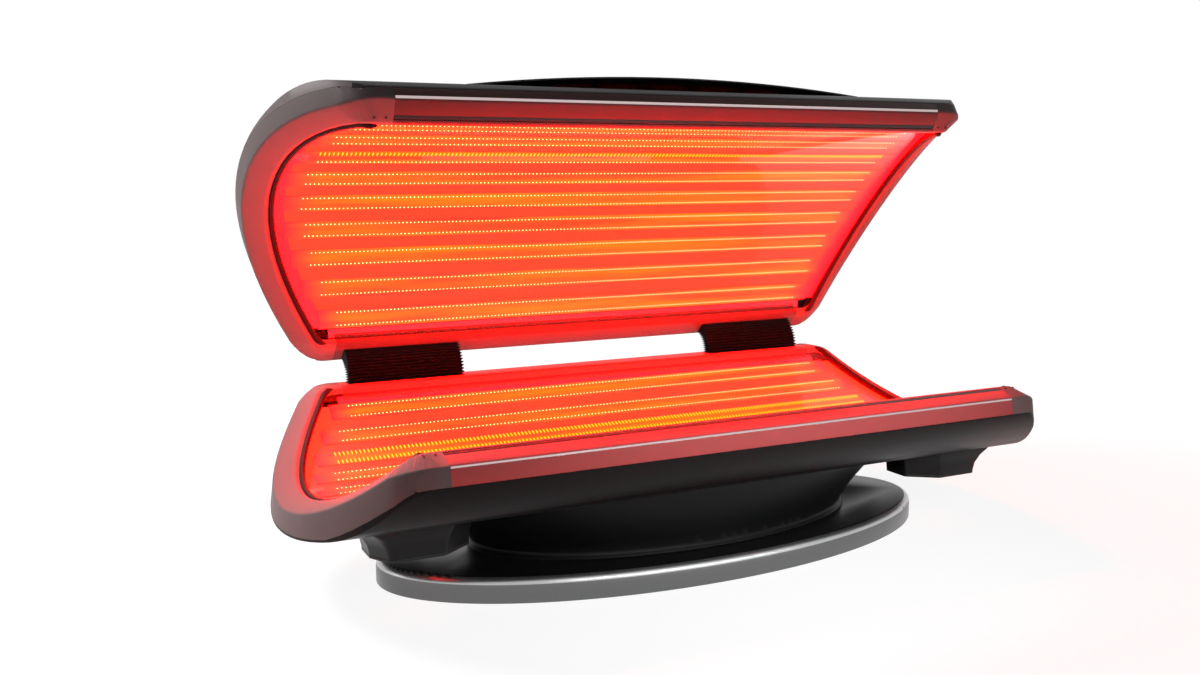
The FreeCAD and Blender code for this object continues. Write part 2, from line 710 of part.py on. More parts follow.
def pod_outline(inset, z, flare):
    """Mouth of the front right pod about its fan's axis, grown by a share of the flare."""
    front = size("pod_side") / 2 - size("pod_round")
    grow_in = flare * size("pod_flare_in")
    grow_out = flare * size("pod_flare_out")
    bend = -size("pod_bend")
    left = -front - grow_in
    right = front + grow_out
    wide_left = left - size("pod_spread_in")
    wide_right = right + size("pod_spread_out")
    edge = front + grow_in
    plan = ((left, -edge), (right, -edge), (wide_right, bend), (wide_right, edge),
            (wide_left, edge), (wide_left, bend), (left, -edge))
    skeleton = Part.makePolygon([Vector(x, y, z) for x, y in plan])
    return skeleton.makeOffset2D(size("pod_round") - inset)


def pod_block(inset, low):
    """Flared block of that pod, whose sides curve outwards up to the hull."""
    rings = []
    steps = int(size("pod_rings"))
    for step in range(steps + 1):
        share = step / steps
        rings.append(pod_outline(inset, low + (size("pod_top_z") - low) * share, share ** 2))
    return Part.makeLoft(rings, True, True)


def at_pod(shape, place, ways):
    lengthwise, depthwise = ways
    turned = shape if lengthwise > 0 else mirrored(shape)
    if depthwise > 0:
        turned = turned.mirror(Vector(), Y_AXIS)
    return turned.translated(place)


hull_outside = boat(BED, -size("seat_gap"), upright_closing(BED))
pod_low = size("pod_mouth_z") + size("grille_wall")
pod = pod_block(0, pod_low).cut(pod_block(size("pod_wall"), pod_low))
pods = [at_pod(pod, place, ways).cut(hull_outside) for place, ways, word in pod_places]
add_shape("fan_pods", Part.makeCompound(pods))

grille_face = Part.Face(pod_outline(0, size("pod_mouth_z"), 0))
grille = grille_face.extrude(Z_AXIS * (size("grille_wall") - size("seat_gap")))
for index in range(int(size("grille_slot_count"))):
    y = (index - (size("grille_slot_count") - 1) / 2) * size("grille_slot_pitch") - size("grille_slot") / 2
    corner = Vector(-size("grille_slot_length") / 2, y, size("pod_mouth_z"))
    slot = Part.makeBox(size("grille_slot_length"), size("grille_slot"), size("grille_wall"), corner)
    grille = grille.cut(slot)
add_shape("pod_grilles", Part.makeCompound([at_pod(grille, place, ways) for place, ways, word in pod_places]))


def make_fan_frame():
    """Square frame with a throat, a bearing boss on four arms and a bore for the shaft."""
    half = size("fan_side") / 2
    tall = size("fan_height")
    boss_low = tall - size("fan_boss_wall")
    frame = Part.makeBox(2 * half, 2 * half, tall, Vector(-half, -half, 0))
    frame = frame.cut(Part.makeCylinder(size("fan_bore"), tall))
    arms = [Part.makeCylinder(size("fan_hub"), size("fan_boss_wall"), Vector(0, 0, boss_low))]
    arm = Part.makeBox(size("fan_bore") + 1, size("fan_boss_wall"), size("fan_boss_wall"),
                       Vector(0, -size("fan_boss_wall") / 2, boss_low))
    for quarter in range(4):
        arms.append(arm.rotated(Vector(), Z_AXIS, 45 + 90 * quarter))
    bore = Part.makeCylinder(size("fan_shaft") + size("run_gap"), tall)
    return frame.fuse(arms).removeSplitter().cut(bore)


def make_fan_rotor():
    """Hub with pitched blades and the shaft that turns in the frame's boss."""
    rise = size("fan_hub_rise")
    tall = size("fan_hub_height")
    rotor = [Part.makeCylinder(size("fan_hub"), tall, Vector(0, 0, rise)),
             Part.makeCylinder(size("fan_shaft"), size("fan_height") - rise)]
    rotor[1] = rotor[1].translated(Vector(0, 0, rise))
    chord = size("blade_chord")
    inner = size("fan_hub") * math.cos(math.asin(chord / 2 / size("fan_hub"))) - size("blade_wall")
    for index in range(int(size("fan_blades"))):
        blade = Part.makeBox(size("fan_tip") - inner, chord, size("blade_wall"),
                             Vector(inner, -chord / 2, -size("blade_wall") / 2))
        blade.rotate(Vector(), X_AXIS, size("blade_pitch"))
        blade.translate(Vector(0, 0, rise + tall / 2))
        blade.rotate(Vector(), Z_AXIS, index * 360 / size("fan_blades"))
        rotor.append(blade)
    return rotor[0].fuse(rotor[1:]).removeSplitter()


fan_frame = make_fan_frame().translated(Z_AXIS * pod_low)
fan_rotor = make_fan_rotor().translated(Z_AXIS * pod_low)
add_shape("fan_frames", Part.makeCompound([fan_frame.translated(place) for place, ways, word in pod_places]))
for place, ways, word in pod_places:
    add_shape(word + "_fan_rotor", fan_rotor.translated(place))

# Hull: the bed's shell with throats over the fans and holes for the columns.
hull = halves[BED]["shell"]
column_half = size("column_side") / 2 + size("fit_gap")
for place, ways, word in pod_places:
    hull = hull.cut(Part.makeCylinder(size("fan_bore"), 2 * size("parting_z"), place))
for way in (-1, 1):
    corner = Vector(way * size("rib_pitch") / 2 - column_half, MIDDLE - column_half, 0)
    hull = hull.cut(Part.makeBox(2 * column_half, 2 * column_half, 2 * size("parting_z"), corner))
add_shape("lower_hull", hull)

# Pedestal: a waisted oval skirt from the base cover up to the hull, with the inlet's cut-out.
def pedestal_skin_solid(name, inset):
    """Ovals on two curves that meet at the waist: one down to the foot, one up to the crown."""
    rings = []
    foot_z = "(base_height + seat_gap)"
    steps = int(size("waist_rings"))
    for step in range(steps):
        share = 1 - step / steps
        inward = "waist_in * %.4f" % (1 - share ** 2)
        rings.append(("waist_z - (waist_z - %s) * %.4f" % (foot_z, share), inward, inward))
    steps = int(size("crown_rings"))
    for step in range(steps + 1):
        share = step / steps
        curve = share ** size("crown_curve")
        long = "waist_in - (crown_out + waist_in) * %.4f" % curve
        short = "waist_in - (crown_deep + waist_in) * %.4f" % curve
        rings.append(("waist_z + (crown_z - waist_z) * %.4f" % share, long, short))
    rings = [(z, "%s + (%s)" % (inset, long), "%s + (%s)" % (inset, short)) for z, long, short in rings]
    return oval_loft(name, "foot_long", "foot_short", rings)


pedestal_outer = pedestal_skin_solid("pedestal_outer", "0")
pedestal_inner = pedestal_skin_solid("pedestal_inner", "cover_wall")
pedestal_skin = cut("pedestal_skin", pedestal_outer, pedestal_inner)
pedestal_open = cut("pedestal_open", pedestal_skin, hidden_tool("hull_outside", hull_outside))
inlet_y = "base_shift + foot_short + inlet_proud - inlet_depth"
inlet_room = box(
    "inlet_room", ("inlet_width + 2 * fit_gap", "inlet_depth + fit_gap", "inlet_height + 2 * fit_gap"),
    ("-inlet_width / 2 - fit_gap", inlet_y, "inlet_z - fit_gap"))
pedestal = cut("pedestal", pedestal_open, inlet_room)

# Support columns: square tubes with a foot plate on the floor plate and a saddle under the long tubes.
saddle_z = "parting_z - tube_drop - tube_height - saddle_wall"
for sign, word in (("-", "left"), ("", "right")):
    x = sign + "rib_pitch / 2"
    half = "column_side / 2"
    post_tall = saddle_z + " - plate_wall"
    post = box(word + "_post", ("column_side", "column_side", post_tall),
               (x + " - " + half, "trough_shift - " + half, "plate_wall"))
    core = "(column_side - 2 * column_wall)"
    hollow = box(word + "_post_hollow", (core, core, post_tall + " - saddle_wall"),
                 (x + " - " + core + " / 2", "trough_shift - " + core + " / 2", "plate_wall + saddle_wall"))
    saddle = box(word + "_saddle", ("column_side", "2 * saddle_half", "saddle_wall"),
                 (x + " - " + half, "trough_shift - saddle_half", saddle_z))
    foot = box(word + "_foot", ("foot_side", "foot_side", "saddle_wall"),
               (x + " - foot_side / 2", "trough_shift - foot_side / 2", "plate_wall"))
    cut(word + "_column", joined(word + "_column_weld", [post, saddle, foot]), hollow)

# Light drivers: flat boxes on the outer side of each long tube, between the ribs.
drivers = []
for way in (-1, 1):
    inner_y = MIDDLE + way * (size("tube_off") + size("tube_width") / 2 + size("seat_gap"))
    y = inner_y if way > 0 else inner_y - size("driver_width")
    for step in (-1.5, -0.5, 0.5, 1.5):
        x = step * size("rib_pitch") - size("driver_length") / 2
        corner = Vector(x, y, height(BED, size("driver_drop") + size("driver_height")))
        case = Part.makeBox(size("driver_length"), size("driver_width"), size("driver_height"), corner)
        drivers.append(case)
add_shape("light_drivers", Part.makeCompound(drivers))

# Mains inlet at the pedestal's back, with a socket recess and a rocker switch on trunnions.
doc.recompute()
inlet_back = size("base_shift") + size("foot_short") + size("inlet_proud")
inlet_mid_z = size("inlet_z") + size("inlet_height") / 2
quarter_x = size("inlet_width") / 4
inlet_block = box("inlet_block", ("inlet_width", "inlet_depth", "inlet_height"),
                  ("-inlet_width / 2", inlet_y, "inlet_z"))
socket_room = box("socket_room", ("socket_width", "socket_depth + 1", "socket_height"),
                  ("-inlet_width / 4 - socket_width / 2", inlet_y + " + inlet_depth - socket_depth",
                   "inlet_z + inlet_height / 2 - socket_height / 2"))
switch_axis = Vector(quarter_x, inlet_back - size("switch_sink"), inlet_mid_z)


def drum(radius, width):
    return Part.makeCylinder(radius, width, switch_axis - X_AXIS * width / 2, X_AXIS)


gap = size("fit_gap")
trunnion_reach = size("switch_width") + 4 * size("trunnion")
switch_room = drum(size("switch_radius") + gap, size("switch_width") + 2 * gap)
switch_room = switch_room.fuse(drum(size("trunnion") + size("run_gap"), trunnion_reach + 2 * gap))
inlet_socket = cut("inlet_socket", inlet_block, socket_room)
cut("mains_inlet", inlet_socket, hidden_tool("switch_room", switch_room))

rocker = drum(size("switch_radius"), size("switch_width"))
crown = switch_axis + Y_AXIS * size("switch_crown")
for way in (-1, 1):
    face = Part.makeBox(4 * size("switch_width"), 4 * size("switch_radius"), 4 * size("switch_radius"),
                        crown - Vector(2 * size("switch_width"), 0, 2 * size("switch_radius")))
    rocker = rocker.cut(face.rotated(crown, X_AXIS, way * size("switch_throw")))
rocker = rocker.fuse(drum(size("trunnion"), trunnion_reach)).removeSplitter()
rocker.rotate(switch_axis, X_AXIS, -size("switch_throw"))
add_shape("mains_switch", rocker)

# Hinges: a forked leaf on the bed's back rail, a single leaf on the lid's, and a pin through both.
rail_back = BACK_RIDGE + skirt_reach
flange_y = rail_back + size("seat_gap")
flange_near = size("ridge_drop") + size("back_ridge_fall") + size("flange_inset")


def hinge_plate(side, x, width):
    """Cheek in the plane of the hinge: knuckle, and a web down to the flange."""
    near = height(side, flange_near)
    far = height(side, flange_near + size("flange_height"))
    web_y = flange_y + size("flange_wall") / 2
    reach = size("knuckle") * math.sqrt(0.5)
    axis = PIVOT + X_AXIS * x
    outer = axis + Vector(0, reach, side * reach)
    inner = axis + Vector(0, -reach, -side * reach)
    if side == BED:
        inner = axis + Vector(0, 0, size("knuckle"))
    corners = [Vector(x, web_y, near), Vector(x, web_y, far), outer, inner]
    web = prism(corners, X_AXIS * width)
    return web.fuse(Part.makeCylinder(size("knuckle"), width, axis, X_AXIS))


def hinge_flange(side, x):
    low = min(height(side, flange_near), height(side, flange_near + size("flange_height")))
    corner = Vector(x - size("flange_half"), flange_y, low)
    return Part.makeBox(2 * size("flange_half"), size("flange_wall"), size("flange_height"), corner)


def hinge_bolts(side, x):
    heads = []
    for across in (-1, 1):
        centre = Vector(x + across * size("bolt_off"), flange_y + size("flange_wall"),
                        height(side, flange_near + size("flange_height") / 2))
        heads.append(Part.makeCylinder(size("bolt_head"), size("bolt_rise"), centre, Y_AXIS))
    return heads


leaf = size("lid_leaf_half")
cheek = size("bed_leaf_wall")
bed_bolts = []
lid_bolts = []
for way, word in ((-1, "left"), (1, "right")):
    x = way * (size("seam_half") - size("hinge_in"))
    pin_start = PIVOT + X_AXIS * (x - leaf - gap - cheek)
    pin_length = 2 * (leaf + gap + cheek)
    pin = Part.makeCylinder(size("hinge_pin"), pin_length, pin_start, X_AXIS)
    loose = Part.makeCylinder(size("hinge_pin") + size("run_gap"), pin_length, pin_start, X_AXIS)
    cheeks = [hinge_plate(BED, x - leaf - gap - cheek, cheek), hinge_plate(BED, x + leaf + gap, cheek)]
    bed_leaf = hinge_flange(BED, x).fuse(cheeks).removeSplitter().cut(pin)
    lid_leaf = hinge_flange(LID, x).fuse(hinge_plate(LID, x - leaf, 2 * leaf)).removeSplitter().cut(loose)
    add_shape(word + "_bed_hinge_leaf", bed_leaf)
    add_shape(word + "_lid_hinge_leaf", lid_leaf, LID)
    add_shape(word + "_hinge_pin", pin)
    bed_bolts += hinge_bolts(BED, x)
    lid_bolts += hinge_bolts(LID, x)
add_shape("bed_hinge_bolts", Part.makeCompound(bed_bolts))
add_shape("lid_hinge_bolts", Part.makeCompound(lid_bolts), LID)

# Bellows: pleated boots that fan out about the hinge axis between the two back rails.
rim_z = height(BED, size("ridge_drop") + size("back_ridge_fall")) + size("seat_gap")
rim_gap = 2 * (size("ridge_drop") + size("back_ridge_fall") - size("seat_gap"))
bellows_out = size("seam_half") - size("bellows_in")
bellows_front = BACK_RIDGE + size("bellows_back")


def bellows_skin(inset):
    """Ruled loft through the pleats' crests and valleys, each turned a little further open."""
    count = 2 * int(size("bellows_pleats")) + 1
    rings = []
    for index in range(count):
        share = index / (count - 1)
        fold = inset + (size("bellows_fold") if index % 2 else 0)
        z = rim_z + rim_gap * share
        x_in = bellows_out - size("bellows_long") + fold
        x_out = bellows_out - fold
        y_front = bellows_front + fold
        y_back = bellows_front + size("bellows_deep") - fold
        corners = [Vector(x_in, y_front, z), Vector(x_out, y_front, z),
                   Vector(x_out, y_back, z), Vector(x_in, y_back, z)]
        ring = Part.makePolygon(corners + corners[:1])
        ring.rotate(PIVOT, X_AXIS, -size("lid_open") * share)
        rings.append(ring)
    return Part.makeLoft(rings, True, True)


bellows = bellows_skin(0).cut(bellows_skin(size("bellows_wall")))
add_shape("right_bellows", bellows)
add_shape("left_bellows", mirrored(bellows))

# Lid shell with vents under a low cowl whose mouth faces the lid's front edge.
def over_lid(rise):
    """Solid under a skin that stands this far above the lid shell."""
    return profile_prism(LID, -rise, upright_closing(LID))


def make_cowl():
    """Arched roof, level along its length, that leaves the lid's flank where it touches it."""
    wall = size("cowl_wall")
    rise = size("cowl_rise")
    half = size("cowl_half")
    flank = profile_edges(LID, 0)[0][0].Curve
    mouth_y = MIDDLE - size("cowl_front")
    mouth_turn = math.asin((mouth_y - flank.Center.y) / (flank.Radius + rise))
    reach = math.acos((flank.Radius + wall) / (flank.Radius + rise))
    turn = mouth_turn + reach
    out = Vector(0, math.sin(turn), math.cos(turn))
    along = Vector(0, math.cos(turn), -math.sin(turn))
    length = (flank.Radius + rise) * math.sin(reach)
    fall = flank.Radius + wall - math.sqrt(flank.Radius ** 2 - length ** 2)
    arch = (half ** 2 + fall ** 2) / (2 * fall)
    axis_start = flank.Center + out * (flank.Radius + wall - arch) - along * length
    roof = Part.makeCylinder(arch, length, axis_start, along)
    roof = roof.cut(Part.makeCylinder(arch - wall, length, axis_start, along))
    low = Vector(-half - wall, mouth_y - length, size("parting_z"))
    room = Part.makeBox(2 * (half + wall), 3 * length, size("hull_drop") + rise, low)
    return roof.common(room).cut(over_lid(size("seat_gap")))


add_shape("vent_cowl", make_cowl(), LID)

lid_shell = halves[LID]["shell"]
vent_count = int(size("vent_count"))
for index in range(vent_count):
    x = (index - (vent_count - 1) / 2) * size("vent_pitch") - size("vent_length") / 2
    corner = Vector(x, MIDDLE - size("cowl_front") + size("vent_in"), size("parting_z"))
    vent = Part.makeBox(size("vent_length"), size("vent_width"), size("parting_z"), corner)
    lid_shell = lid_shell.cut(vent)
add_shape("lid_shell", lid_shell, LID)

# Every object has to be whole before anything is written.
doc.recompute()
for item in doc.Objects:
    if "Invalid" in item.State or "Error" in item.State:
        raise RuntimeError("%s failed: %s" % (item.Label, item.State))

NODES = (
    "base_plate base_cover pedestal left_column right_column lower_hull bed_frame light_drivers "
    "bed_front_rail bed_back_rail bed_left_end_trim bed_right_end_trim bed_acrylic bed_light_tray "
    "bed_light_strips fan_pods pod_grilles fan_frames front_left_fan_rotor back_left_fan_rotor "
    "front_right_fan_rotor back_right_fan_rotor mains_inlet mains_switch left_bed_hinge_leaf "
    "right_bed_hinge_leaf left_hinge_pin right_hinge_pin bed_hinge_bolts left_bellows right_bellows "
    "lid_shell vent_cowl lid_frame lid_front_rail lid_back_rail lid_left_end_trim lid_right_end_trim "
    "lid_acrylic lid_light_tray lid_light_strips left_lid_hinge_leaf right_lid_hinge_leaf lid_hinge_bolts"
).split()
os.makedirs("parts", exist_ok=True)
for node in NODES:
    piece = doc.getObjectsByLabel(node)[0]
    if piece.Shape.isNull() or not piece.Shape.isValid() or not piece.Shape.Solids:
        raise RuntimeError("%s has no valid solid" % node)
    piece.Shape.exportStep("parts/%s.step" % node)
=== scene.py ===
import json
import math

import bmesh
import bpy
from mathutils import Matrix, Vector


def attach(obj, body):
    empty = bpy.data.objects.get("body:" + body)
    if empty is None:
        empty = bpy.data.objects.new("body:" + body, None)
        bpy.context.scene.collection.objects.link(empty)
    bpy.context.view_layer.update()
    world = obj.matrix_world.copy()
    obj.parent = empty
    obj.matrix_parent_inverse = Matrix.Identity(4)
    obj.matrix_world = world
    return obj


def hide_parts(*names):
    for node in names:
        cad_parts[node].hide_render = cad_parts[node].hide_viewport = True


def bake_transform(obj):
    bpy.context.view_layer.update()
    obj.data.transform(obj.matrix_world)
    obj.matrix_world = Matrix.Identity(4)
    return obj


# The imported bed: its bodies are the frame that every dressed piece rides on.
# The lid's joint gives the hinge line and the angle at which the lid stands open.
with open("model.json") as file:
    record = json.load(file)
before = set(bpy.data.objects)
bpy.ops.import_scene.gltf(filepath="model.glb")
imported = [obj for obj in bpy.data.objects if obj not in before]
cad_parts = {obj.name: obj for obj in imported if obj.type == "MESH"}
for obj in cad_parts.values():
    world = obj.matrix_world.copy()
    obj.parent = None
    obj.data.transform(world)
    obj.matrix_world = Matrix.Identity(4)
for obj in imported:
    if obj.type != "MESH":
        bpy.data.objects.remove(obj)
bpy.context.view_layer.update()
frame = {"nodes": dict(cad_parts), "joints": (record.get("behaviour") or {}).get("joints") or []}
cad = frame["nodes"]
lid_joint = next(joint for joint in frame["joints"] if joint["name"] == "lid_hinge")
hinge = Vector(lid_joint["pos_m"])
lid_open = math.radians(lid_joint["range_deg"][1])


# Camera: where the photograph was taken from, left of the bed's open front and a little above it.
# The lens and the place were solved from the rails of the bed and the lid.
look_down = 8.30
roll = 0.17
turn_right = 26.28
camera_data = bpy.data.cameras.new("photograph_view")
camera_data.sensor_width = 36.0
camera_data.lens = 34.25
camera = bpy.data.objects.new("photograph_view", camera_data)
camera.location = (-1.587, -2.786, 1.060)
camera.rotation_euler = [math.radians(angle) for angle in (90 - look_down, roll, -turn_right)]
bpy.context.scene.collection.objects.link(camera)
bpy.context.scene.camera = camera
bpy.context.scene.view_settings.view_transform = "Standard"


# Studio: a white room with a soft light overhead, one at the left and three narrow ones in front.
# The camera and every reflection see white, and the floor keeps a faint shadow of the bed.
def wire(tree, source, target):
    tree.links.new(source, target)


def seen_directly(tree):
    """1 for rays from the camera, and for those that a gloss or a clear sheet sends on."""
    path = tree.nodes.new("ShaderNodeLightPath")
    first = tree.nodes.new("ShaderNodeMath")
    second = tree.nodes.new("ShaderNodeMath")
    first.operation = second.operation = "MAXIMUM"
    wire(tree, path.outputs["Is Camera Ray"], first.inputs[0])
    wire(tree, path.outputs["Is Glossy Ray"], first.inputs[1])
    wire(tree, first.outputs[0], second.inputs[0])
    wire(tree, path.outputs["Is Transmission Ray"], second.inputs[1])
    return second.outputs[0]


def white_room():
    """White where it is seen, and a dim cool fill where it only lights the bed."""
    world = bpy.data.worlds.new("white_room")
    world.use_nodes = True
    tree = world.node_tree
    tree.nodes.clear()
    out = tree.nodes.new("ShaderNodeOutputWorld")
    mix = tree.nodes.new("ShaderNodeMixShader")
    dim = tree.nodes.new("ShaderNodeBackground")
    white = tree.nodes.new("ShaderNodeBackground")
    dim.inputs["Color"].default_value = (0.92, 0.94, 1.0, 1.0)
    dim.inputs["Strength"].default_value = 0.03
    white.inputs["Color"].default_value = (1.0, 1.0, 1.0, 1.0)
    white.inputs["Strength"].default_value = 1.0
    wire(tree, seen_directly(tree), mix.inputs[0])
    wire(tree, dim.outputs[0], mix.inputs[1])
    wire(tree, white.outputs[0], mix.inputs[2])
    wire(tree, mix.outputs[0], out.inputs["Surface"])
    bpy.context.scene.world = world


def white_floor():
    """A wide white floor whose own white glow is a little dimmer under the bed, a painted shade there, and
    whose thin matt coat takes the shadow.
    """
    paint = bpy.data.materials.new("white_floor")
    paint.use_nodes = True
    tree = paint.node_tree
    tree.nodes.clear()
    out = tree.nodes.new("ShaderNodeOutputMaterial")
    mix = tree.nodes.new("ShaderNodeMixShader")
    both = tree.nodes.new("ShaderNodeAddShader")
    matt = tree.nodes.new("ShaderNodeBsdfDiffuse")
    thin = tree.nodes.new("ShaderNodeBsdfDiffuse")
    white = tree.nodes.new("ShaderNodeEmission")
    matt.inputs["Color"].default_value = (0.8, 0.8, 0.8, 1.0)
    thin.inputs["Color"].default_value = (0.25, 0.25, 0.25, 1.0)
    where = tree.nodes.new("ShaderNodeTexCoord")
    away = tree.nodes.new("ShaderNodeVectorMath")
    away.operation = "LENGTH"
    # The floor's glow dims towards the bed: painted shade under it.
    level = tree.nodes.new("ShaderNodeMapRange")
    level.inputs["From Min"].default_value = 1.2
    level.inputs["From Max"].default_value = 3.0
    level.inputs["To Min"].default_value = 0.90
    level.inputs["To Max"].default_value = 1.0
    wire(tree, where.outputs["Object"], away.inputs[0])
    wire(tree, away.outputs["Value"], level.inputs["Value"])
    wire(tree, level.outputs["Result"], white.inputs["Strength"])
    wire(tree, seen_directly(tree), mix.inputs[0])
    wire(tree, matt.outputs[0], mix.inputs[1])
    wire(tree, thin.outputs[0], both.inputs[0])
    wire(tree, white.outputs[0], both.inputs[1])
    wire(tree, both.outputs[0], mix.inputs[2])
    wire(tree, mix.outputs[0], out.inputs["Surface"])
    bpy.ops.object.select_all(action="DESELECT")
    bpy.ops.mesh.primitive_plane_add(size=60.0, location=(0.0, 0.0, 0.0))
    floor = bpy.context.object
    floor.name = "floor"
    floor.data.materials.append(paint)


def soft_light(name, place, aim, width, depth, power):
    lamp = bpy.data.lights.new(name, "AREA")
    lamp.shape = "RECTANGLE"
    lamp.size = width
    lamp.size_y = depth
    lamp.energy = power
    stand = bpy.data.objects.new(name, lamp)
    stand.location = place
    stand.rotation_euler = (Vector(aim) - Vector(place)).to_track_quat("-Z", "Y").to_euler()
    bpy.context.scene.collection.objects.link(stand)


white_room()
white_floor()
for name, place, aim, width, depth, power in (
    ("overhead_softbox", (-2.4, 1.5, 2.9), (-0.9, 0.1, 0.9), 1.6, 1.0, 105.0),
    ("left_softbox", (-3.3, 0.8, 1.4), (-1.0, 0.0, 0.5), 0.9, 1.0, 6.0),
    ("long_strip_light", (1.5, -1.6, 2.7), (0.2, -0.4, 0.8), 4.6, 0.05, 2.0),
    ("front_softbox", (1.2, -3.4, 0.3), (0.2, 0.0, 0.1), 2.6, 0.3, 3.0),
    ("front_strip_light", (0.15, -1.0, 0.56), (0.15, -0.5, 0.45), 1.3, 0.05, 3.2),
):
    soft_light(name, place, aim, width, depth, power)


# Base: an oval vacuum-formed cover with a satin grey side, a painted highlight on its rolled edge and a
# black top.
# It stands on the floor over a powder-coated steel plate, held down by the pedestal's foot.
def pick(piece):
    """Selects this piece alone and makes it the active one."""
    bpy.ops.object.select_all(action="DESELECT")
    piece.select_set(True)
    bpy.context.view_layer.objects.active = piece


def merged_copy(node, name):
    """The CAD piece with its loose triangles joined into plain faces, ready to be finished."""
    piece = bpy.data.objects.new(name, cad[node].data.copy())
    bpy.context.scene.collection.objects.link(piece)
    pick(piece)
    bpy.ops.mesh.customdata_custom_splitnormals_clear()
    bpy.ops.object.mode_set(mode="EDIT")
    bpy.ops.mesh.select_all(action="SELECT")
    bpy.ops.mesh.remove_doubles(threshold=0.00002)
    bpy.ops.mesh.tris_convert_to_quads()
    bpy.ops.mesh.dissolve_limited(angle_limit=math.radians(0.4))
    bpy.ops.object.mode_set(mode="OBJECT")
    piece.data.materials.clear()
    return piece


def break_edges(piece, radius, rounds=2, sharp=32.0):
    """Rounds every edge sharper than this, as a moulding or a deburred part has it."""
    bpy.context.view_layer.objects.active = piece
    rounding = piece.modifiers.new("rounding", "BEVEL")
    rounding.limit_method = "ANGLE"
    rounding.angle_limit = math.radians(sharp)
    rounding.width = radius
    rounding.segments = rounds
    bpy.ops.object.modifier_apply(modifier=rounding.name)


def put_on(piece, body, slot, finish, *stands_for):
    """Gives a piece its finish and smooth faces, and fixes it to its body in place of CAD nodes."""
    pick(piece)
    piece.data.materials.append(finish)
    bpy.ops.object.shade_smooth_by_angle(angle=math.radians(38.0))
    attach(piece, body)
    if stands_for:
        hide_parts(*stands_for)


def dress(node, name, body, slot, finish, radius, rounds=2):
    """Finishes a CAD piece in its own shape, with its edges broken, and puts it on its body."""
    piece = merged_copy(node, name)
    break_edges(piece, radius, rounds)
    put_on(piece, body, slot, finish, node)
    return piece


def satin(name, colour, rough, gloss=0.5, metal=0.0, grain=700.0, relief=0.00004):
    """A moulded or painted skin: a fine grain in its relief, a slow drift in its gloss."""
    finish = bpy.data.materials.new(name)
    finish.use_nodes = True
    tree = finish.node_tree
    skin = tree.nodes["Principled BSDF"]
    skin.inputs["Base Color"].default_value = colour + (1.0,)
    skin.inputs["Metallic"].default_value = metal
    skin.inputs["Specular IOR Level"].default_value = gloss
    where = tree.nodes.new("ShaderNodeTexCoord")
    drift = tree.nodes.new("ShaderNodeTexNoise")
    drift.inputs["Scale"].default_value = 9.0
    drift.inputs["Detail"].default_value = 5.0
    spread = tree.nodes.new("ShaderNodeMapRange")
    spread.inputs["To Min"].default_value = rough - 0.05
    spread.inputs["To Max"].default_value = rough + 0.05
    pebble = tree.nodes.new("ShaderNodeTexNoise")
    pebble.inputs["Scale"].default_value = grain
    pebble.inputs["Detail"].default_value = 2.0
    bump = tree.nodes.new("ShaderNodeBump")
    bump.inputs["Strength"].default_value = 0.35
    bump.inputs["Distance"].default_value = relief
    wire(tree, where.outputs["Object"], drift.inputs["Vector"])
    wire(tree, drift.outputs["Fac"], spread.inputs["Value"])
    wire(tree, spread.outputs["Result"], skin.inputs["Roughness"])
    wire(tree, where.outputs["Object"], pebble.inputs["Vector"])
    wire(tree, pebble.outputs["Fac"], bump.inputs["Height"])
    wire(tree, bump.outputs["Normal"], skin.inputs["Normal"])
    return finish


def painted_where(piece, finish, picked):
    """Gives the faces that the test picks a finish of their own."""
    piece.data.materials.append(finish)
    for face in piece.data.polygons:
        if picked(face):
            face.material_index = len(piece.data.materials) - 1


def on_top(face):
    return face.normal.z > 0.985


def on_rolled_edge(face):
    return 0.40 < face.normal.z < 0.90


base_skin = satin("base_edge_satin", (0.17, 0.172, 0.174), rough=0.34, metal=0.75)
base_top_skin = satin("base_top_black", (0.012, 0.012, 0.012), rough=0.30, gloss=0.25)
base_edge_highlight_skin = satin("base_edge_painted_highlight", (0.50, 0.505, 0.51), rough=0.30, metal=0.85)
base_cover = dress("base_cover", "base_cover_skin", "bed", "base_satin", base_skin, radius=0.0012)
painted_where(base_cover, base_top_skin, on_top)
# The rolled edge's faces take a lighter metal, a painted highlight along the base's upper edge.
painted_where(base_cover, base_edge_highlight_skin, on_rolled_edge)
floor_paint = satin("floor_plate_powder_coat", (0.05, 0.05, 0.053), rough=0.55, gloss=0.4,
                    grain=1500.0, relief=0.00008)
dress("base_plate", "base_plate_steel", "bed", "floor_steel", floor_paint, radius=0.0008)


# Pedestal: one moulded skirt, narrow above the base and wide under the hull, in black satin.
# It is clipped over the two columns. Its front is plain.
pedestal_skin = satin("pedestal_black", (0.008, 0.0085, 0.009), rough=0.38, gloss=0.12)
dress("pedestal", "pedestal_skin", "bed", "pedestal_black", pedestal_skin, radius=0.001)


# Columns, frames and drivers: welded square tube and sheet ribs in black powder coat, and driver
# boxes in bare aluminium. They are out of sight inside the pedestal, the hull and the lid shell.
frame_paint = satin("frame_powder_coat", (0.07, 0.07, 0.075), rough=0.5, gloss=0.4,
                    grain=1500.0, relief=0.00008)
for node, body in (
    ("left_column", "bed"),
    ("right_column", "bed"),
    ("bed_frame", "bed"),
    ("lid_frame", "lid"),
):
    dress(node, node + "_weldment", body, "frame_steel", frame_paint, radius=0.0006, rounds=1)
driver_case = satin("driver_case_aluminium", (0.45, 0.46, 0.47), rough=0.42, metal=0.9, grain=400.0)
dress("light_drivers", "light_driver_cases", "bed", "driver_metal", driver_case, radius=0.0012)


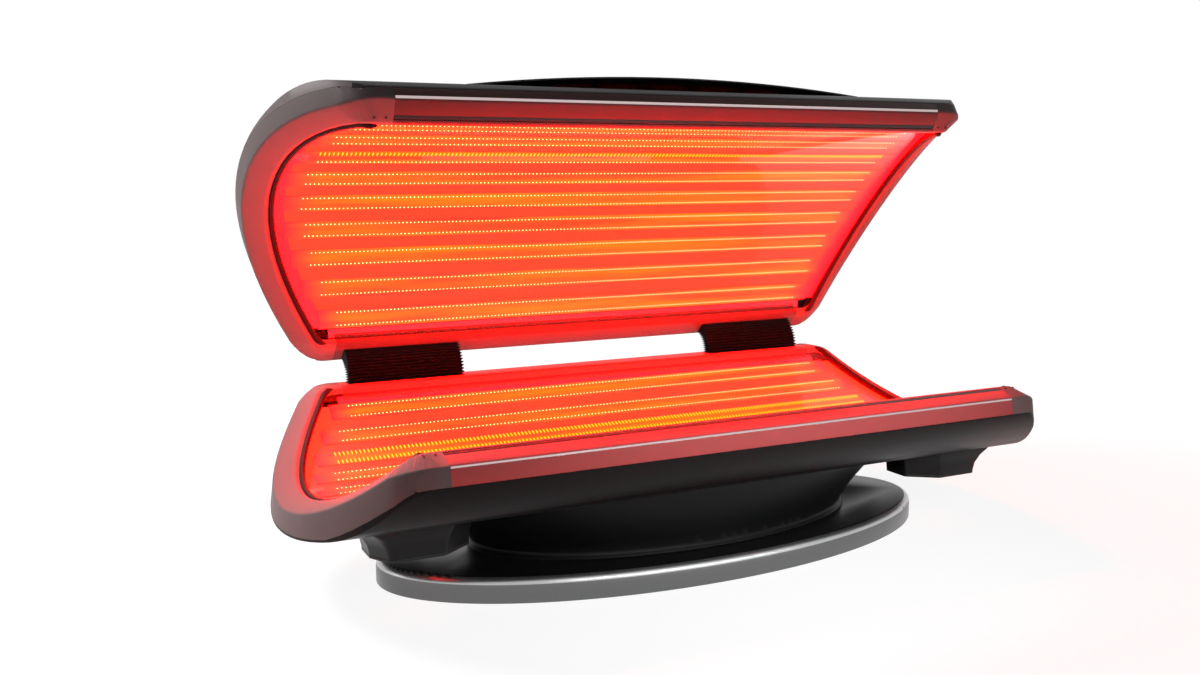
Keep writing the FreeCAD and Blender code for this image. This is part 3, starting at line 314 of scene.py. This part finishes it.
# Hull and lid shell: the two halves of the clamshell, vacuum formed in black with a satin skin.
# Each is screwed to its ribs, with its edge under the skirts of the rails and trims. The lid
# shell's end walls carry the trims' silver lacquer, with its faint pink tint of painted red glow.
hull_skin = satin("hull_black", (0.014, 0.012, 0.012), rough=0.40, gloss=0.06)
# The trims' grey carries a faint pink tint, painted red glow of the light strips.
trim_skin = satin("trim_silver_lacquer_pink_glow_tint", (0.20, 0.170, 0.170), rough=0.42, gloss=0.02,
                  grain=900.0, relief=0.00002)
end_wall_x = 0.82
end_wall_lean = 0.45


def on_end_wall(face):
    return abs(face.center.x) > end_wall_x and abs(face.normal.x) > end_wall_lean


dress("lower_hull", "lower_hull_skin", "bed", "hull_black", hull_skin, radius=0.0003, rounds=1)
lid_shell = dress("lid_shell", "lid_shell_skin", "lid", "hull_black", hull_skin, radius=0.0003, rounds=1)
painted_where(lid_shell, trim_skin, on_end_wall)


# Fan pods: flared housings moulded in the hull's black, each with a flat grille plate over its mouth.
# A square fan stands on each plate and blows up through a throat in the hull.
pod_skin = satin("fan_pod_black", (0.016, 0.0155, 0.0155), rough=0.36, gloss=0.15)
grille_skin = satin("grille_black", (0.020, 0.020, 0.020), rough=0.40, gloss=0.25)
fan_moulding = satin("fan_moulding", (0.02, 0.02, 0.021), rough=0.5, gloss=0.4)
dress("fan_pods", "fan_pod_housings", "bed", "hull_black", pod_skin, radius=0.0015)
dress("pod_grilles", "pod_grille_plates", "bed", "vent_black", grille_skin, radius=0.0008)
dress("fan_frames", "fan_frame_mouldings", "bed", "vent_black", fan_moulding, radius=0.0008, rounds=1)
for corner in ("front_left", "back_left", "front_right", "back_right"):
    rotor = corner + "_fan_rotor"
    dress(rotor, corner + "_fan_blades", rotor, "vent_black", fan_moulding, radius=0.0004, rounds=1)


# Light trays: bent aluminium sheets behind the strips, whose faces glow red, and pink at their borders:
# painted light of the strips, as the sheets are no lamps.
# The lid's tray is the bed's one turned over, and it is screwed to the lid's ribs.
middle_y = 0.010
trough_axis_z = 0.9047
trough_axis = Vector((0.0, middle_y, trough_axis_z))
parting_z = 0.460
tray_border = 0.050
light_strength = 16.0
lid_flip = (Matrix.Translation(hinge) @ Matrix.Rotation(-lid_open, 4, "X") @ Matrix.Translation(-hinge)
            @ Matrix.Translation((0, 0, 2 * parting_z)) @ Matrix.Scale(-1, 4, (0, 0, 1)))


def glow(name, colour):
    """A lit surface: its own dim paint under the light that it gives. On the lamps the light is real; on the
    trays, boards and reflectors it is painted light.
    """
    finish = bpy.data.materials.new(name)
    finish.use_nodes = True
    skin = finish.node_tree.nodes["Principled BSDF"]
    skin.inputs["Base Color"].default_value = (0.25, 0.02, 0.02, 1.0)
    skin.inputs["Roughness"].default_value = 0.5
    skin.inputs["Emission Color"].default_value = colour + (1.0,)
    skin.inputs["Emission Strength"].default_value = light_strength
    return finish


def border_marked(piece, axis):
    """Insets the lit side by the border's width, and gives border and back their own finishes."""
    lit, border, back = 0, 1, 2
    for face in piece.data.polygons:
        inwards = (axis - face.center) * Vector((0, 1, 1))
        face.select = face.normal.dot(inwards) > 0.1
        face.material_index = border if face.select else back
    bpy.ops.object.mode_set(mode="EDIT")
    bpy.ops.mesh.select_mode(type="FACE")
    bpy.ops.mesh.inset(thickness=tray_border, use_boundary=True, use_even_offset=True)
    bpy.ops.object.mode_set(mode="OBJECT")
    for face in piece.data.polygons:
        if face.select:
            face.material_index = lit


# The trays' red and their borders' pink glows are painted light of the strips.
tray_painted_glow = glow("tray_painted_red_glow", (1.0, 0.0039, 0.0015))
tray_border_painted_glow = glow("tray_border_painted_pink_glow", (1.0, 0.0013, 0.0024))
tray_back = satin("tray_bare_aluminium", (0.45, 0.45, 0.46), rough=0.45, metal=0.9)
for node, body, axis in (
    ("bed_light_tray", "bed", trough_axis),
    ("lid_light_tray", "lid", lid_flip @ trough_axis),
):
    tray = merged_copy(node, node + "_sheet")
    put_on(tray, body, "tray_metal", tray_painted_glow, node)
    tray.data.materials.append(tray_border_painted_glow)
    tray.data.materials.append(tray_back)
    border_marked(tray, axis)


# Light strips: ten boards along each trough with two rows of small lamps on each, all lit; the boards glow
# too, a painted light.
# Each board is as long as the curved ends let it be, and the lamps are tiny domes of clear resin.
tray_face = 0.6637
strip_count = 10
strip_width = 0.056
strip_wall = 0.0029
strip_front = 0.6602
strips_reach = 0.440
strip_pitch = 2 * math.asin(strips_reach / tray_face) / strip_count
strip_end_inset = 0.050
strip_map_share = 0.998
end_radius = 0.7292
end_centre = 0.3078
lamp_pitch = 0.0115
lamp_row_off = 0.0195
lamp_width = 0.0038
lamp_end_inset = 0.048
amber_lamp_width = 0.0045


def into_own_frame(piece, body):
    """Turns a piece that was made on the bed's frame over into the lid, if it is the lid's."""
    if body == "lid":
        piece.data.transform(lid_flip)
        piece.data.flip_normals()


def turned_up(piece, turn):
    """Turns a piece from the trough's lowest line up to its place on the arc."""
    swing = Matrix.Rotation(turn, 4, "X")
    piece.data.transform(Matrix.Translation(trough_axis) @ swing @ Matrix.Translation(-trough_axis))


def joined(pieces, name):
    bpy.ops.object.select_all(action="DESELECT")
    for piece in pieces:
        piece.select_set(True)
    bpy.context.view_layer.objects.active = pieces[0]
    bpy.ops.object.join()
    pieces[0].name = name
    return pieces[0]


def bar(size, place=(0.0, 0.0, 0.0)):
    """A straight bar of this size, still with sharp edges."""
    bpy.ops.object.select_all(action="DESELECT")
    bpy.ops.mesh.primitive_cube_add(size=1.0, location=place, scale=size)
    piece = bpy.context.object
    bpy.ops.object.transform_apply(location=True, rotation=True, scale=True)
    return piece


def strip_board(index, turn, half):
    """A board whose own map runs along it from -1 to 1, and across it from its number to the next."""
    place = (0.0, middle_y, trough_axis_z - strip_front - strip_wall / 2)
    board = bar((2 * half, strip_width, strip_wall), place)
    own_map = board.data.uv_layers.active.data
    for loop in board.data.loops:
        spot = board.data.vertices[loop.vertex_index].co
        share = 0.5 + strip_map_share * (spot.y - middle_y) / strip_width
        own_map[loop.index].uv = (spot.x / half, index + share)
    break_edges(board, radius=0.0003, rounds=1)
    turned_up(board, turn)
    return board


def lamp_row(turn, half, off, wide, long):
    """A row of lamp domes on a board, each of this width along the row and length across it."""
    count = int(2 * (half - lamp_end_inset) / lamp_pitch)
    start = (-lamp_pitch * (count - 1) / 2, middle_y + off, trough_axis_z - strip_front)
    bpy.ops.object.select_all(action="DESELECT")
    bpy.ops.mesh.primitive_uv_sphere_add(segments=6, ring_count=4, radius=0.5, location=start,
                                         scale=(wide, long, wide))
    lamp = bpy.context.object
    bpy.ops.object.transform_apply(location=True, rotation=True, scale=True)
    bpy.ops.object.mode_set(mode="EDIT")
    bpy.ops.mesh.select_all(action="SELECT")
    bpy.ops.mesh.bisect(plane_co=start, plane_no=(0, 0, 1), clear_inner=True, use_fill=True)
    bpy.ops.object.mode_set(mode="OBJECT")
    row = lamp.modifiers.new("row", "ARRAY")
    row.use_relative_offset = False
    row.use_constant_offset = True
    row.constant_offset_displace = (lamp_pitch, 0.0, 0.0)
    row.count = count
    bpy.ops.object.modifier_apply(modifier=row.name)
    turned_up(lamp, turn)
    return lamp


def strip_glow():
    """Painted light on a board: orange by its two rows of lamps, red at its edges, in uneven streaks
    along it, and pink where it ends."""
    edge_red = (1.0, 0.0020, 0.0018, 1.0)
    streak_orange = (1.0, 0.0150, 0.0002, 1.0)
    end_pink = (1.0, 0.0013, 0.0024, 1.0)
    finish = glow("light_strip_painted_glow", (1.0, 0.0045, 0.0012))
    tree = finish.node_tree
    skin = tree.nodes["Principled BSDF"]
    own = tree.nodes.new("ShaderNodeUVMap")
    own.uv_map = "UVMap"
    parts = tree.nodes.new("ShaderNodeSeparateXYZ")
    share = tree.nodes.new("ShaderNodeMath")
    share.operation = "FRACT"
    bands = tree.nodes.new("ShaderNodeValToRGB")
    ramp = bands.color_ramp
    ramp.elements[0].position = 0.0
    ramp.elements[0].color = edge_red
    ramp.elements[1].position = 1.0
    ramp.elements[1].color = edge_red
    for spot, green, blue in (
        (0.06, 0.0039, 0.0013),
        (0.15, 0.0072, 0.0008),
        (0.26, 0.0050, 0.0010),
        (0.50, 0.0044, 0.0012),
        (0.74, 0.0050, 0.0010),
        (0.85, 0.0072, 0.0008),
        (0.94, 0.0039, 0.0013),
    ):
        stop = ramp.elements.new(spot)
        stop.color = (1.0, green, blue, 1.0)
    stretch = tree.nodes.new("ShaderNodeMapping")
    stretch.inputs["Scale"].default_value = (1.1, 1.3, 1.0)
    cloud = tree.nodes.new("ShaderNodeTexNoise")
    cloud.inputs["Scale"].default_value = 1.0
    cloud.inputs["Detail"].default_value = 3.0
    amount = tree.nodes.new("ShaderNodeMapRange")
    amount.inputs["From Min"].default_value = 0.36
    amount.inputs["From Max"].default_value = 0.66
    streaks = tree.nodes.new("ShaderNodeMix")
    streaks.data_type = "RGBA"
    streaks.inputs["B"].default_value = streak_orange
    along = tree.nodes.new("ShaderNodeMath")
    along.operation = "ABSOLUTE"
    fade = tree.nodes.new("ShaderNodeMapRange")
    fade.inputs["From Min"].default_value = 0.91
    fade.inputs["From Max"].default_value = 1.0
    ends = tree.nodes.new("ShaderNodeMix")
    ends.data_type = "RGBA"
    ends.inputs["B"].default_value = end_pink
    wire(tree, own.outputs["UV"], parts.inputs[0])
    wire(tree, parts.outputs["Y"], share.inputs[0])
    wire(tree, share.outputs[0], bands.inputs["Fac"])
    wire(tree, bands.outputs["Color"], streaks.inputs["A"])
    wire(tree, own.outputs["UV"], stretch.inputs["Vector"])
    wire(tree, stretch.outputs["Vector"], cloud.inputs["Vector"])
    wire(tree, cloud.outputs["Fac"], amount.inputs["Value"])
    wire(tree, amount.outputs["Result"], streaks.inputs["Factor"])
    wire(tree, streaks.outputs["Result"], ends.inputs["A"])
    wire(tree, parts.outputs["X"], along.inputs[0])
    wire(tree, along.outputs[0], fade.inputs["Value"])
    wire(tree, fade.outputs["Result"], ends.inputs["Factor"])
    wire(tree, ends.outputs["Result"], skin.inputs["Emission Color"])
    return finish


def strip_ends(index):
    """Angle of a strip on the trough's arc, and half its length between the curved ends."""
    turn = (index - (strip_count - 1) / 2) * strip_pitch
    half = end_centre + math.sqrt(end_radius ** 2 - (tray_face * math.sin(turn)) ** 2) - strip_end_inset
    return turn, half


board_painted_glow = strip_glow()
lamp_glow = glow("lamp_warm_white", (1.0, 0.14, 0.060))
amber_glow = glow("lamp_amber", (1.0, 0.056, 0.0004))
for half_body, amber_rows, amber_length in (("bed", ((7, -1), (7, 1)), 0.022), ("lid", ((3, -1),), 0.018)):
    boards = []
    lamps = []
    amber_lamps = []
    for index in range(strip_count):
        turn, half = strip_ends(index)
        boards.append(strip_board(index, turn, half))
        for way in (-1, 1):
            off = way * lamp_row_off
            if (index, way) in amber_rows:
                amber_lamps.append(lamp_row(turn, half, off, amber_lamp_width, amber_length))
            else:
                lamps.append(lamp_row(turn, half, off, lamp_width, lamp_width))
    for pieces, name, finish, replaced in (
        (boards, "_strip_boards", board_painted_glow, [half_body + "_light_strips"]),
        (lamps, "_strip_lamps", lamp_glow, []),
        (amber_lamps, "_strip_amber_lamps", amber_glow, []),
    ):
        piece = joined(pieces, half_body + name)
        into_own_frame(piece, half_body)
        put_on(piece, half_body, "light_strip", finish, *replaced)


# Reflectors: narrow strips beyond the trays' long edges, which fill the trough up to the rails.
# They glow pink like the trays' borders, a painted light, and they are clipped to the trays.
reflector_size = (2 * 0.836, 0.026, 0.0010)
reflector_off = 0.4365
reflector_turn = math.asin(reflector_off / tray_face)
for half_body in ("bed", "lid"):
    reflectors = []
    for way in (-1, 1):
        reflector = bar(reflector_size, (0.0, middle_y, trough_axis_z - tray_face))
        break_edges(reflector, radius=0.0002, rounds=1)
        turned_up(reflector, way * reflector_turn)
        reflectors.append(reflector)
    pair = joined(reflectors, half_body + "_reflectors")
    into_own_frame(pair, half_body)
    put_on(pair, half_body, "tray_metal", tray_border_painted_glow)


# Acrylic: clear cast sheets bent to the trough, polished, with their edges in the rails' slots.
# The bed's sheet carries the user and the lid's one is its mirror image.
def clear_acrylic():
    """Clear sheet that lets the light of the strips through without a shadow."""
    finish = bpy.data.materials.new("clear_acrylic")
    finish.use_nodes = True
    tree = finish.node_tree
    sheet = tree.nodes["Principled BSDF"]
    sheet.inputs["Base Color"].default_value = (1.0, 0.985, 0.98, 1.0)
    sheet.inputs["Roughness"].default_value = 0.0
    sheet.inputs["IOR"].default_value = 1.12
    sheet.inputs["Transmission Weight"].default_value = 1.0
    path = tree.nodes.new("ShaderNodeLightPath")
    either = tree.nodes.new("ShaderNodeMath")
    either.operation = "MAXIMUM"
    through = tree.nodes.new("ShaderNodeBsdfTransparent")
    mix = tree.nodes.new("ShaderNodeMixShader")
    out = tree.nodes["Material Output"]
    wire(tree, path.outputs["Is Shadow Ray"], either.inputs[0])
    wire(tree, path.outputs["Is Diffuse Ray"], either.inputs[1])
    wire(tree, either.outputs[0], mix.inputs[0])
    wire(tree, sheet.outputs[0], mix.inputs[1])
    wire(tree, through.outputs[0], mix.inputs[2])
    wire(tree, mix.outputs[0], out.inputs["Surface"])
    return finish


acrylic = clear_acrylic()
for node, body in (("bed_acrylic", "bed"), ("lid_acrylic", "lid")):
    sheet = merged_copy(node, node + "_sheet")
    put_on(sheet, body, "acrylic", acrylic, node)


# Rails: extruded aluminium along the long edges. A lighter band on the rounding of the outer edge is a
# painted highlight; the red of the bed's rails is painted glow of the strips, and the dark reddish brown of
# the lid's a painted shade of it. A groove in each front rail takes a dark strip, and a slot under the lip
# holds the acrylic.
ridge_half = 0.452
ridge_z = 0.455
rim_width = 0.057
rim_fall = 0.023
rim_middle = ridge_half + rim_width / 2
rim_slope = math.atan2(rim_fall, rim_width)
rim_round = 0.0075
ridge_round = 0.0040
seam_x = 0.819
groove_start = 0.007
groove_width = 0.011
groove_depth = 0.004
groove_middle = groove_start + groove_width / 2
inlay_size = (2 * seam_x - 0.004, groove_width - 0.0006, groove_depth - 0.0014)
inlay_sink = groove_depth / 2 + 0.0002


def into_bed_frame(piece, body):
    """Lays a lid piece back on the bed's frame, where it is the mirror image of the bed's."""
    if body == "lid":
        piece.data.transform(lid_flip.inverted())
        piece.data.flip_normals()


def round_picked(piece, picked, radius, rounds):
    """Rounds the edges that the test picks."""
    pick(piece)
    bpy.ops.object.mode_set(mode="EDIT")
    bpy.ops.mesh.select_mode(type="EDGE")
    bpy.ops.mesh.select_all(action="DESELECT")
    work = bmesh.from_edit_mesh(piece.data)
    work.normal_update()
    for edge in work.edges:
        edge.select_set(picked(edge))
    bmesh.update_edit_mesh(piece.data)
    bpy.ops.mesh.bevel(offset=radius, segments=rounds, affect="EDGES")
    bpy.ops.object.mode_set(mode="OBJECT")


def upper_edge(edge, least=14.0):
    """A corner of at least this angle between two faces that both look up."""
    if len(edge.link_faces) != 2:
        return False
    lowest = min(face.normal.z for face in edge.link_faces)
    return lowest > 0.04 and edge.calc_face_angle() > math.radians(least)


def rim_edge(edge):
    """The rail's rim above its skirt."""
    return upper_edge(edge) and all(abs(corner.co.y - middle_y) > rim_middle for corner in edge.verts)


def ridge_edge(edge):
    return upper_edge(edge) and not rim_edge(edge)


def on_rim_round(face):
    """A face of the rounding between a rail's rim and its skirt, in the narrow band that takes a painted
    highlight.
    """
    outside = abs(face.center.y - middle_y) > rim_middle
    return outside and abs(face.normal.x) < 0.1 and 0.26 < face.normal.z < 0.62


def laid_on_rim(piece, x, off, lift):
    """Lays a flat piece on the front rim's slope, this far out from the ridge."""
    seat = Vector((x, middle_y - ridge_half - off, ridge_z - off * math.tan(rim_slope) + lift))
    piece.data.transform(Matrix.Translation(seat) @ Matrix.Rotation(rim_slope, 4, "X"))


# Both rails are one aluminium: the bed's red is painted glow of the strips, the lid's dark reddish brown a
# painted shade of it.
bed_rail_skin = satin("bed_rail_painted_red_glow", (0.55, 0.120, 0.120), rough=0.40, gloss=0.03,
                      grain=500.0, relief=0.000004)
lid_rail_skin = satin("lid_rail_painted_shade_dim_glow", (0.13, 0.070, 0.070), rough=0.40, gloss=0.06,
                      grain=500.0, relief=0.000004)
# A lighter metal on a narrow band of the rim's rounding: a painted highlight.
rail_edge_highlight = satin("rail_edge_painted_highlight", (0.56, 0.45, 0.45), rough=0.22, metal=1.0,
                 grain=500.0, relief=0.000002)
inlay_skin = satin("rail_strip_dark", (0.014, 0.006, 0.006), rough=0.45, gloss=0.3)
for body, rail_skin in (("bed", bed_rail_skin), ("lid", lid_rail_skin)):
    for side in ("front", "back"):
        node = "%s_%s_rail" % (body, side)
        rail = merged_copy(node, node + "_extrusion")
        into_bed_frame(rail, body)
        round_picked(rail, rim_edge, rim_round, 6)
        round_picked(rail, ridge_edge, ridge_round, 3)
        break_edges(rail, radius=0.0008)
        highlight_faces = {face.index for face in rail.data.polygons if on_rim_round(face)}
        into_own_frame(rail, body)
        put_on(rail, body, "rail_metal", rail_skin, node)
        painted_where(rail, rail_edge_highlight, lambda face: face.index in highlight_faces)
        if side == "front":
            inlay = bar(inlay_size)
            break_edges(inlay, radius=0.0005)
            laid_on_rim(inlay, 0.0, groove_middle, -inlay_sink)
            inlay.name = node + "_strip"
            into_own_frame(inlay, body)
            put_on(inlay, body, "rail_metal", inlay_skin)


# Foam seals: black strips inside the hull and the lid shell, under the feet of the rails' skirts.
# They are glued to the shells' edges and keep the light in and the dust out.
seal_half = 0.852
seal_off = 0.5058
seal_depth = 0.0115
seal_low = 0.3833
seal_high = 0.3868
lid_seal_rise = 0.017
foam = satin("seal_foam_black", (0.008, 0.008, 0.008), rough=0.8, gloss=0.1, grain=250.0, relief=0.0002)
for half_body, rise in (("bed", 0.0), ("lid", lid_seal_rise)):
    seals = []
    for way in (-1, 1):
        place = (0.0, middle_y + way * seal_off, rise + (seal_low + seal_high) / 2)
        seal = bar((2 * seal_half, seal_depth, seal_high - seal_low), place)
        break_edges(seal, radius=0.0004)
        seals.append(seal)
    pair = joined(seals, half_body + "_skirt_seals")
    into_own_frame(pair, half_body)
    put_on(pair, half_body, "bellows_rubber", foam)


# End trims: one-piece mouldings round the head and foot of each half, in silver satin lacquer with a faint
# pink tint of painted red glow.
# They meet the rails at a butt seam, two dark screws beside each front seam hold them, a rubber bead
# runs along their inner edge on the acrylic, its dark red a painted shade of the crease there, and foam
# seals the foot of their skirt.
corner_round = 0.060
corner_back = 0.392
corner_x = 0.8501
corner_angle = math.atan2(corner_back, corner_x - end_centre)
trim_edge_least = 9.0
trim_round = 0.0050
trough_radius = 0.6497
trough_depth = 0.205
trough_centre = trough_radius - trough_depth
lip_rise = 0.017
lip_steps = 72
nose_reach = 0.014
nose_fall = 0.009
back_fall = 0.009
bead_radius = 0.0085
bead_tip = 0.2
bead_taper = 0.1
foot_reach = 0.050
foot_look = -0.6
foot_seal_focus = 0.60
foot_seal_inset = 0.005
foot_seal_height = 0.006
screw_places = (0.018, 0.046)
screw_off = 0.0125
screw_radius = 0.0032
screw_wall = 0.0014
screw_rise = 0.0008


def lip_place(angle, way):
    """Point of the lip's nose, at this angle of the end's outline."""
    if abs(angle) <= corner_angle:
        centre, radius = Vector((end_centre, 0.0)), end_radius
    else:
        centre, radius = Vector((corner_x, math.copysign(corner_back, angle))), corner_round
    out = Vector((math.cos(angle), math.sin(angle)))
    ridge = centre + out * radius
    nose = ridge - out * (nose_reach + bead_radius / 2)
    drop = math.sqrt(trough_radius ** 2 - ridge.y ** 2) - trough_centre - lip_rise
    drop += nose_fall + back_fall / 2 * max(0.0, math.sin(angle))
    return Vector((way * nose.x, middle_y + nose.y, parting_z - drop))


def lip_bead(way, name):
    """Round rubber bead along the lip from seam to seam, tapered at both ends; its dark red is painted shade
    of the crease between trim and acrylic.
    """
    line = bpy.data.curves.new(name, "CURVE")
    line.dimensions = "3D"
    line.bevel_depth = bead_radius
    line.bevel_resolution = 2
    line.use_fill_caps = True
    path = line.splines.new("POLY")
    path.points.add(lip_steps)
    for step, point in enumerate(path.points):
        angle = math.pi * (step / lip_steps - 0.5)
        point.co = lip_place(angle, way).to_4d()
        point.radius = min(1.0, bead_tip + bead_taper * min(step, lip_steps - step))
    bead = bpy.data.objects.new(name, line)
    bpy.context.scene.collection.objects.link(bead)
    pick(bead)
    bpy.ops.object.convert(target="MESH")
    bead = bpy.context.object
    bpy.ops.object.mode_set(mode="EDIT")
    bpy.ops.mesh.select_all(action="SELECT")
    bpy.ops.mesh.remove_doubles(threshold=0.0001)
    bpy.ops.object.mode_set(mode="OBJECT")
    return bead


def beyond_ridge(spot):
    """How far a point lies outside the ridge's outline, seen from above."""
    x = abs(spot.x)
    y = abs(spot.y - middle_y)
    if x <= corner_x:
        return y - ridge_half
    if math.atan2(y, x - end_centre) <= corner_angle:
        return math.hypot(x - end_centre, y) - end_radius
    return math.hypot(x - corner_x, y - corner_back) - corner_round


def foot_seal(node, body, way):
    """Foam behind the foot of a trim's skirt: the foot's face moved inwards and given height."""
    seal = merged_copy(node, node + "_foot_seal")
    into_bed_frame(seal, body)
    pick(seal)
    bpy.ops.object.mode_set(mode="EDIT")
    bpy.ops.mesh.select_mode(type="FACE")
    work = bmesh.from_edit_mesh(seal.data)
    work.normal_update()
    for face in work.faces:
        inside = beyond_ridge(face.calc_center_median()) < foot_reach
        face.select_set(face.normal.z > foot_look or inside)
    bmesh.update_edit_mesh(seal.data)
    bpy.ops.mesh.delete(type="FACE")
    bpy.ops.object.mode_set(mode="OBJECT")
    for corner in seal.data.vertices:
        inwards = Vector((way * foot_seal_focus, middle_y, corner.co.z)) - corner.co
        corner.co += inwards.normalized() * foot_seal_inset
    height = seal.modifiers.new("height", "SOLIDIFY")
    height.thickness = foot_seal_height
    height.offset = 0.0
    bpy.ops.object.modifier_apply(modifier=height.name)
    into_own_frame(seal, body)
    return seal


def trim_edge(edge):
    return upper_edge(edge, trim_edge_least)


lip_shade_skin = satin("trim_lip_bead_painted_shade", (0.030, 0.002, 0.002), rough=0.5, gloss=0.10)
screw_skin = satin("screw_black", (0.006, 0.006, 0.006), rough=0.4, gloss=0.3)
for half_body in ("bed", "lid"):
    for end, way in (("left", -1), ("right", 1)):
        node = "%s_%s_end_trim" % (half_body, end)
        put_on(foot_seal(node, half_body, way), half_body, "bellows_rubber", foam)
        trim = merged_copy(node, node + "_moulding")
        into_bed_frame(trim, half_body)
        round_picked(trim, trim_edge, trim_round, 4)
        break_edges(trim, radius=0.0008, rounds=1, sharp=40.0)
        into_own_frame(trim, half_body)
        put_on(trim, half_body, "trim_silver", trim_skin, node)
        # The bead sits in the crease between trim and acrylic, its dark red a painted shade there.
        bead = lip_bead(way, node + "_lip_bead")
        into_own_frame(bead, half_body)
        put_on(bead, half_body, "bellows_rubber", lip_shade_skin)
        screws = []
        for along in screw_places:
            bpy.ops.object.select_all(action="DESELECT")
            bpy.ops.mesh.primitive_cylinder_add(vertices=12, radius=screw_radius, depth=screw_wall)
            screw = bpy.context.object
            break_edges(screw, radius=0.0003, rounds=1)
            laid_on_rim(screw, way * (seam_x + along), screw_off, screw_rise)
            screws.append(screw)
        pair = joined(screws, node + "_screws")
        into_own_frame(pair, half_body)
        put_on(pair, half_body, "trim_silver", screw_skin)


# Vent cowl: a low black hood on the lid, open towards the front edge, over a row of vents.
# It is moulded in one piece and screwed down from inside the lid.
cowl_skin = satin("cowl_black", (0.012, 0.012, 0.0125), rough=0.40, gloss=0.22)
dress("vent_cowl", "vent_cowl_hood", "lid", "vent_black", cowl_skin, radius=0.0015)


# Hinges: steel leaves with knuckles on two bright pins, bolted to flanges behind the back rails.
# The bellows hide them from the front.
leaf_steel = satin("hinge_leaf_steel", (0.10, 0.10, 0.105), rough=0.4, metal=0.8, grain=800.0)
bright_steel = satin("bright_steel", (0.55, 0.55, 0.56), rough=0.25, metal=1.0, grain=800.0)
for end in ("left", "right"):
    for half_body in ("bed", "lid"):
        node = "%s_%s_hinge_leaf" % (end, half_body)
        dress(node, node + "_steel", half_body, "hinge_steel", leaf_steel, radius=0.0008, rounds=1)
    node = end + "_hinge_pin"
    dress(node, node + "_steel", "bed", "bright_steel", bright_steel, radius=0.0008, rounds=1)
for half_body in ("bed", "lid"):
    bolts = half_body + "_hinge_bolt"
    dress(bolts + "s", bolts + "_heads", half_body, "bright_steel", bright_steel, radius=0.0004, rounds=1)


# Bellows: pleated rubber boots between the back rails, which fan out about the hinge line.
# Each is moulded in one piece, black, with its end lips glued to the rails.
bellows_inner_x = 0.438
bellows_outer_x = 0.794
bellows_front_y = 0.476
bellows_back_y = 0.522
bellows_low_z = 0.4463
bellows_gap = 0.0274
bellows_long = bellows_outer_x - bellows_inner_x
bellows_deep = bellows_back_y - bellows_front_y
bellows_wall = 0.0012
pleats = 11
pleat_step = bellows_gap / (2 * pleats)
fold = 0.007
rubber = satin("bellows_rubber", (0.004, 0.0035, 0.0035), rough=0.55, gloss=0.10, grain=300.0, relief=0.0001)


def fanned_out(spot, share):
    """Where a point of the folded boot stands with this share of the lid's swing."""
    return Matrix.Rotation(-lid_open * share, 4, "X") @ (spot - hinge) + hinge


for end, way in (("left", -1), ("right", 1)):
    low = Vector((way * (bellows_inner_x + bellows_outer_x) / 2, (bellows_front_y + bellows_back_y) / 2,
                  bellows_low_z))
    bpy.ops.object.select_all(action="DESELECT")
    bpy.ops.mesh.primitive_plane_add(size=1.0, location=low)
    boot = bpy.context.object
    boot.scale = (bellows_long, bellows_deep, 1.0)
    bpy.ops.object.transform_apply(location=True, rotation=True, scale=True)
    bpy.ops.object.mode_set(mode="EDIT")
    bpy.ops.mesh.select_all(action="SELECT")
    bpy.ops.mesh.delete(type="ONLY_FACE")
    bpy.ops.mesh.select_all(action="SELECT")
    narrow_x = (bellows_long - 2 * fold) / bellows_long
    narrow_y = (bellows_deep - 2 * fold) / bellows_deep
    for index in range(2 * pleats):
        bpy.ops.mesh.extrude_region_move(TRANSFORM_OT_translate={"value": (0.0, 0.0, pleat_step)})
        grow = (narrow_x, narrow_y, 1.0) if index % 2 == 0 else (1 / narrow_x, 1 / narrow_y, 1.0)
        bpy.ops.transform.resize(value=grow, center_override=low)
    bpy.ops.object.mode_set(mode="OBJECT")
    for corner in boot.data.vertices:
        corner.co = fanned_out(corner.co, (corner.co.z - bellows_low_z) / bellows_gap)
    skin = boot.modifiers.new("skin", "SOLIDIFY")
    skin.thickness = bellows_wall
    skin.offset = 0.0
    bpy.ops.object.modifier_apply(modifier=skin.name)
    boot.name = end + "_bellows_boot"
    boot.data.materials.append(rubber)
    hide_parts(end + "_bellows")
    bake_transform(boot)


# Mains inlet and switch: a moulded inlet low at the back of the pedestal with a red rocker beside it.
# The rocker tips on two small trunnions.
inlet_skin = satin("inlet_black", (0.02, 0.02, 0.02), rough=0.45, gloss=0.4)
rocker_skin = satin("rocker_red", (0.42, 0.015, 0.015), rough=0.35)
dress("mains_inlet", "mains_inlet_moulding", "bed", "inlet_black", inlet_skin, radius=0.0006, rounds=1)
dress("mains_switch", "mains_rocker", "mains_switch", "switch_red", rocker_skin, radius=0.0005)
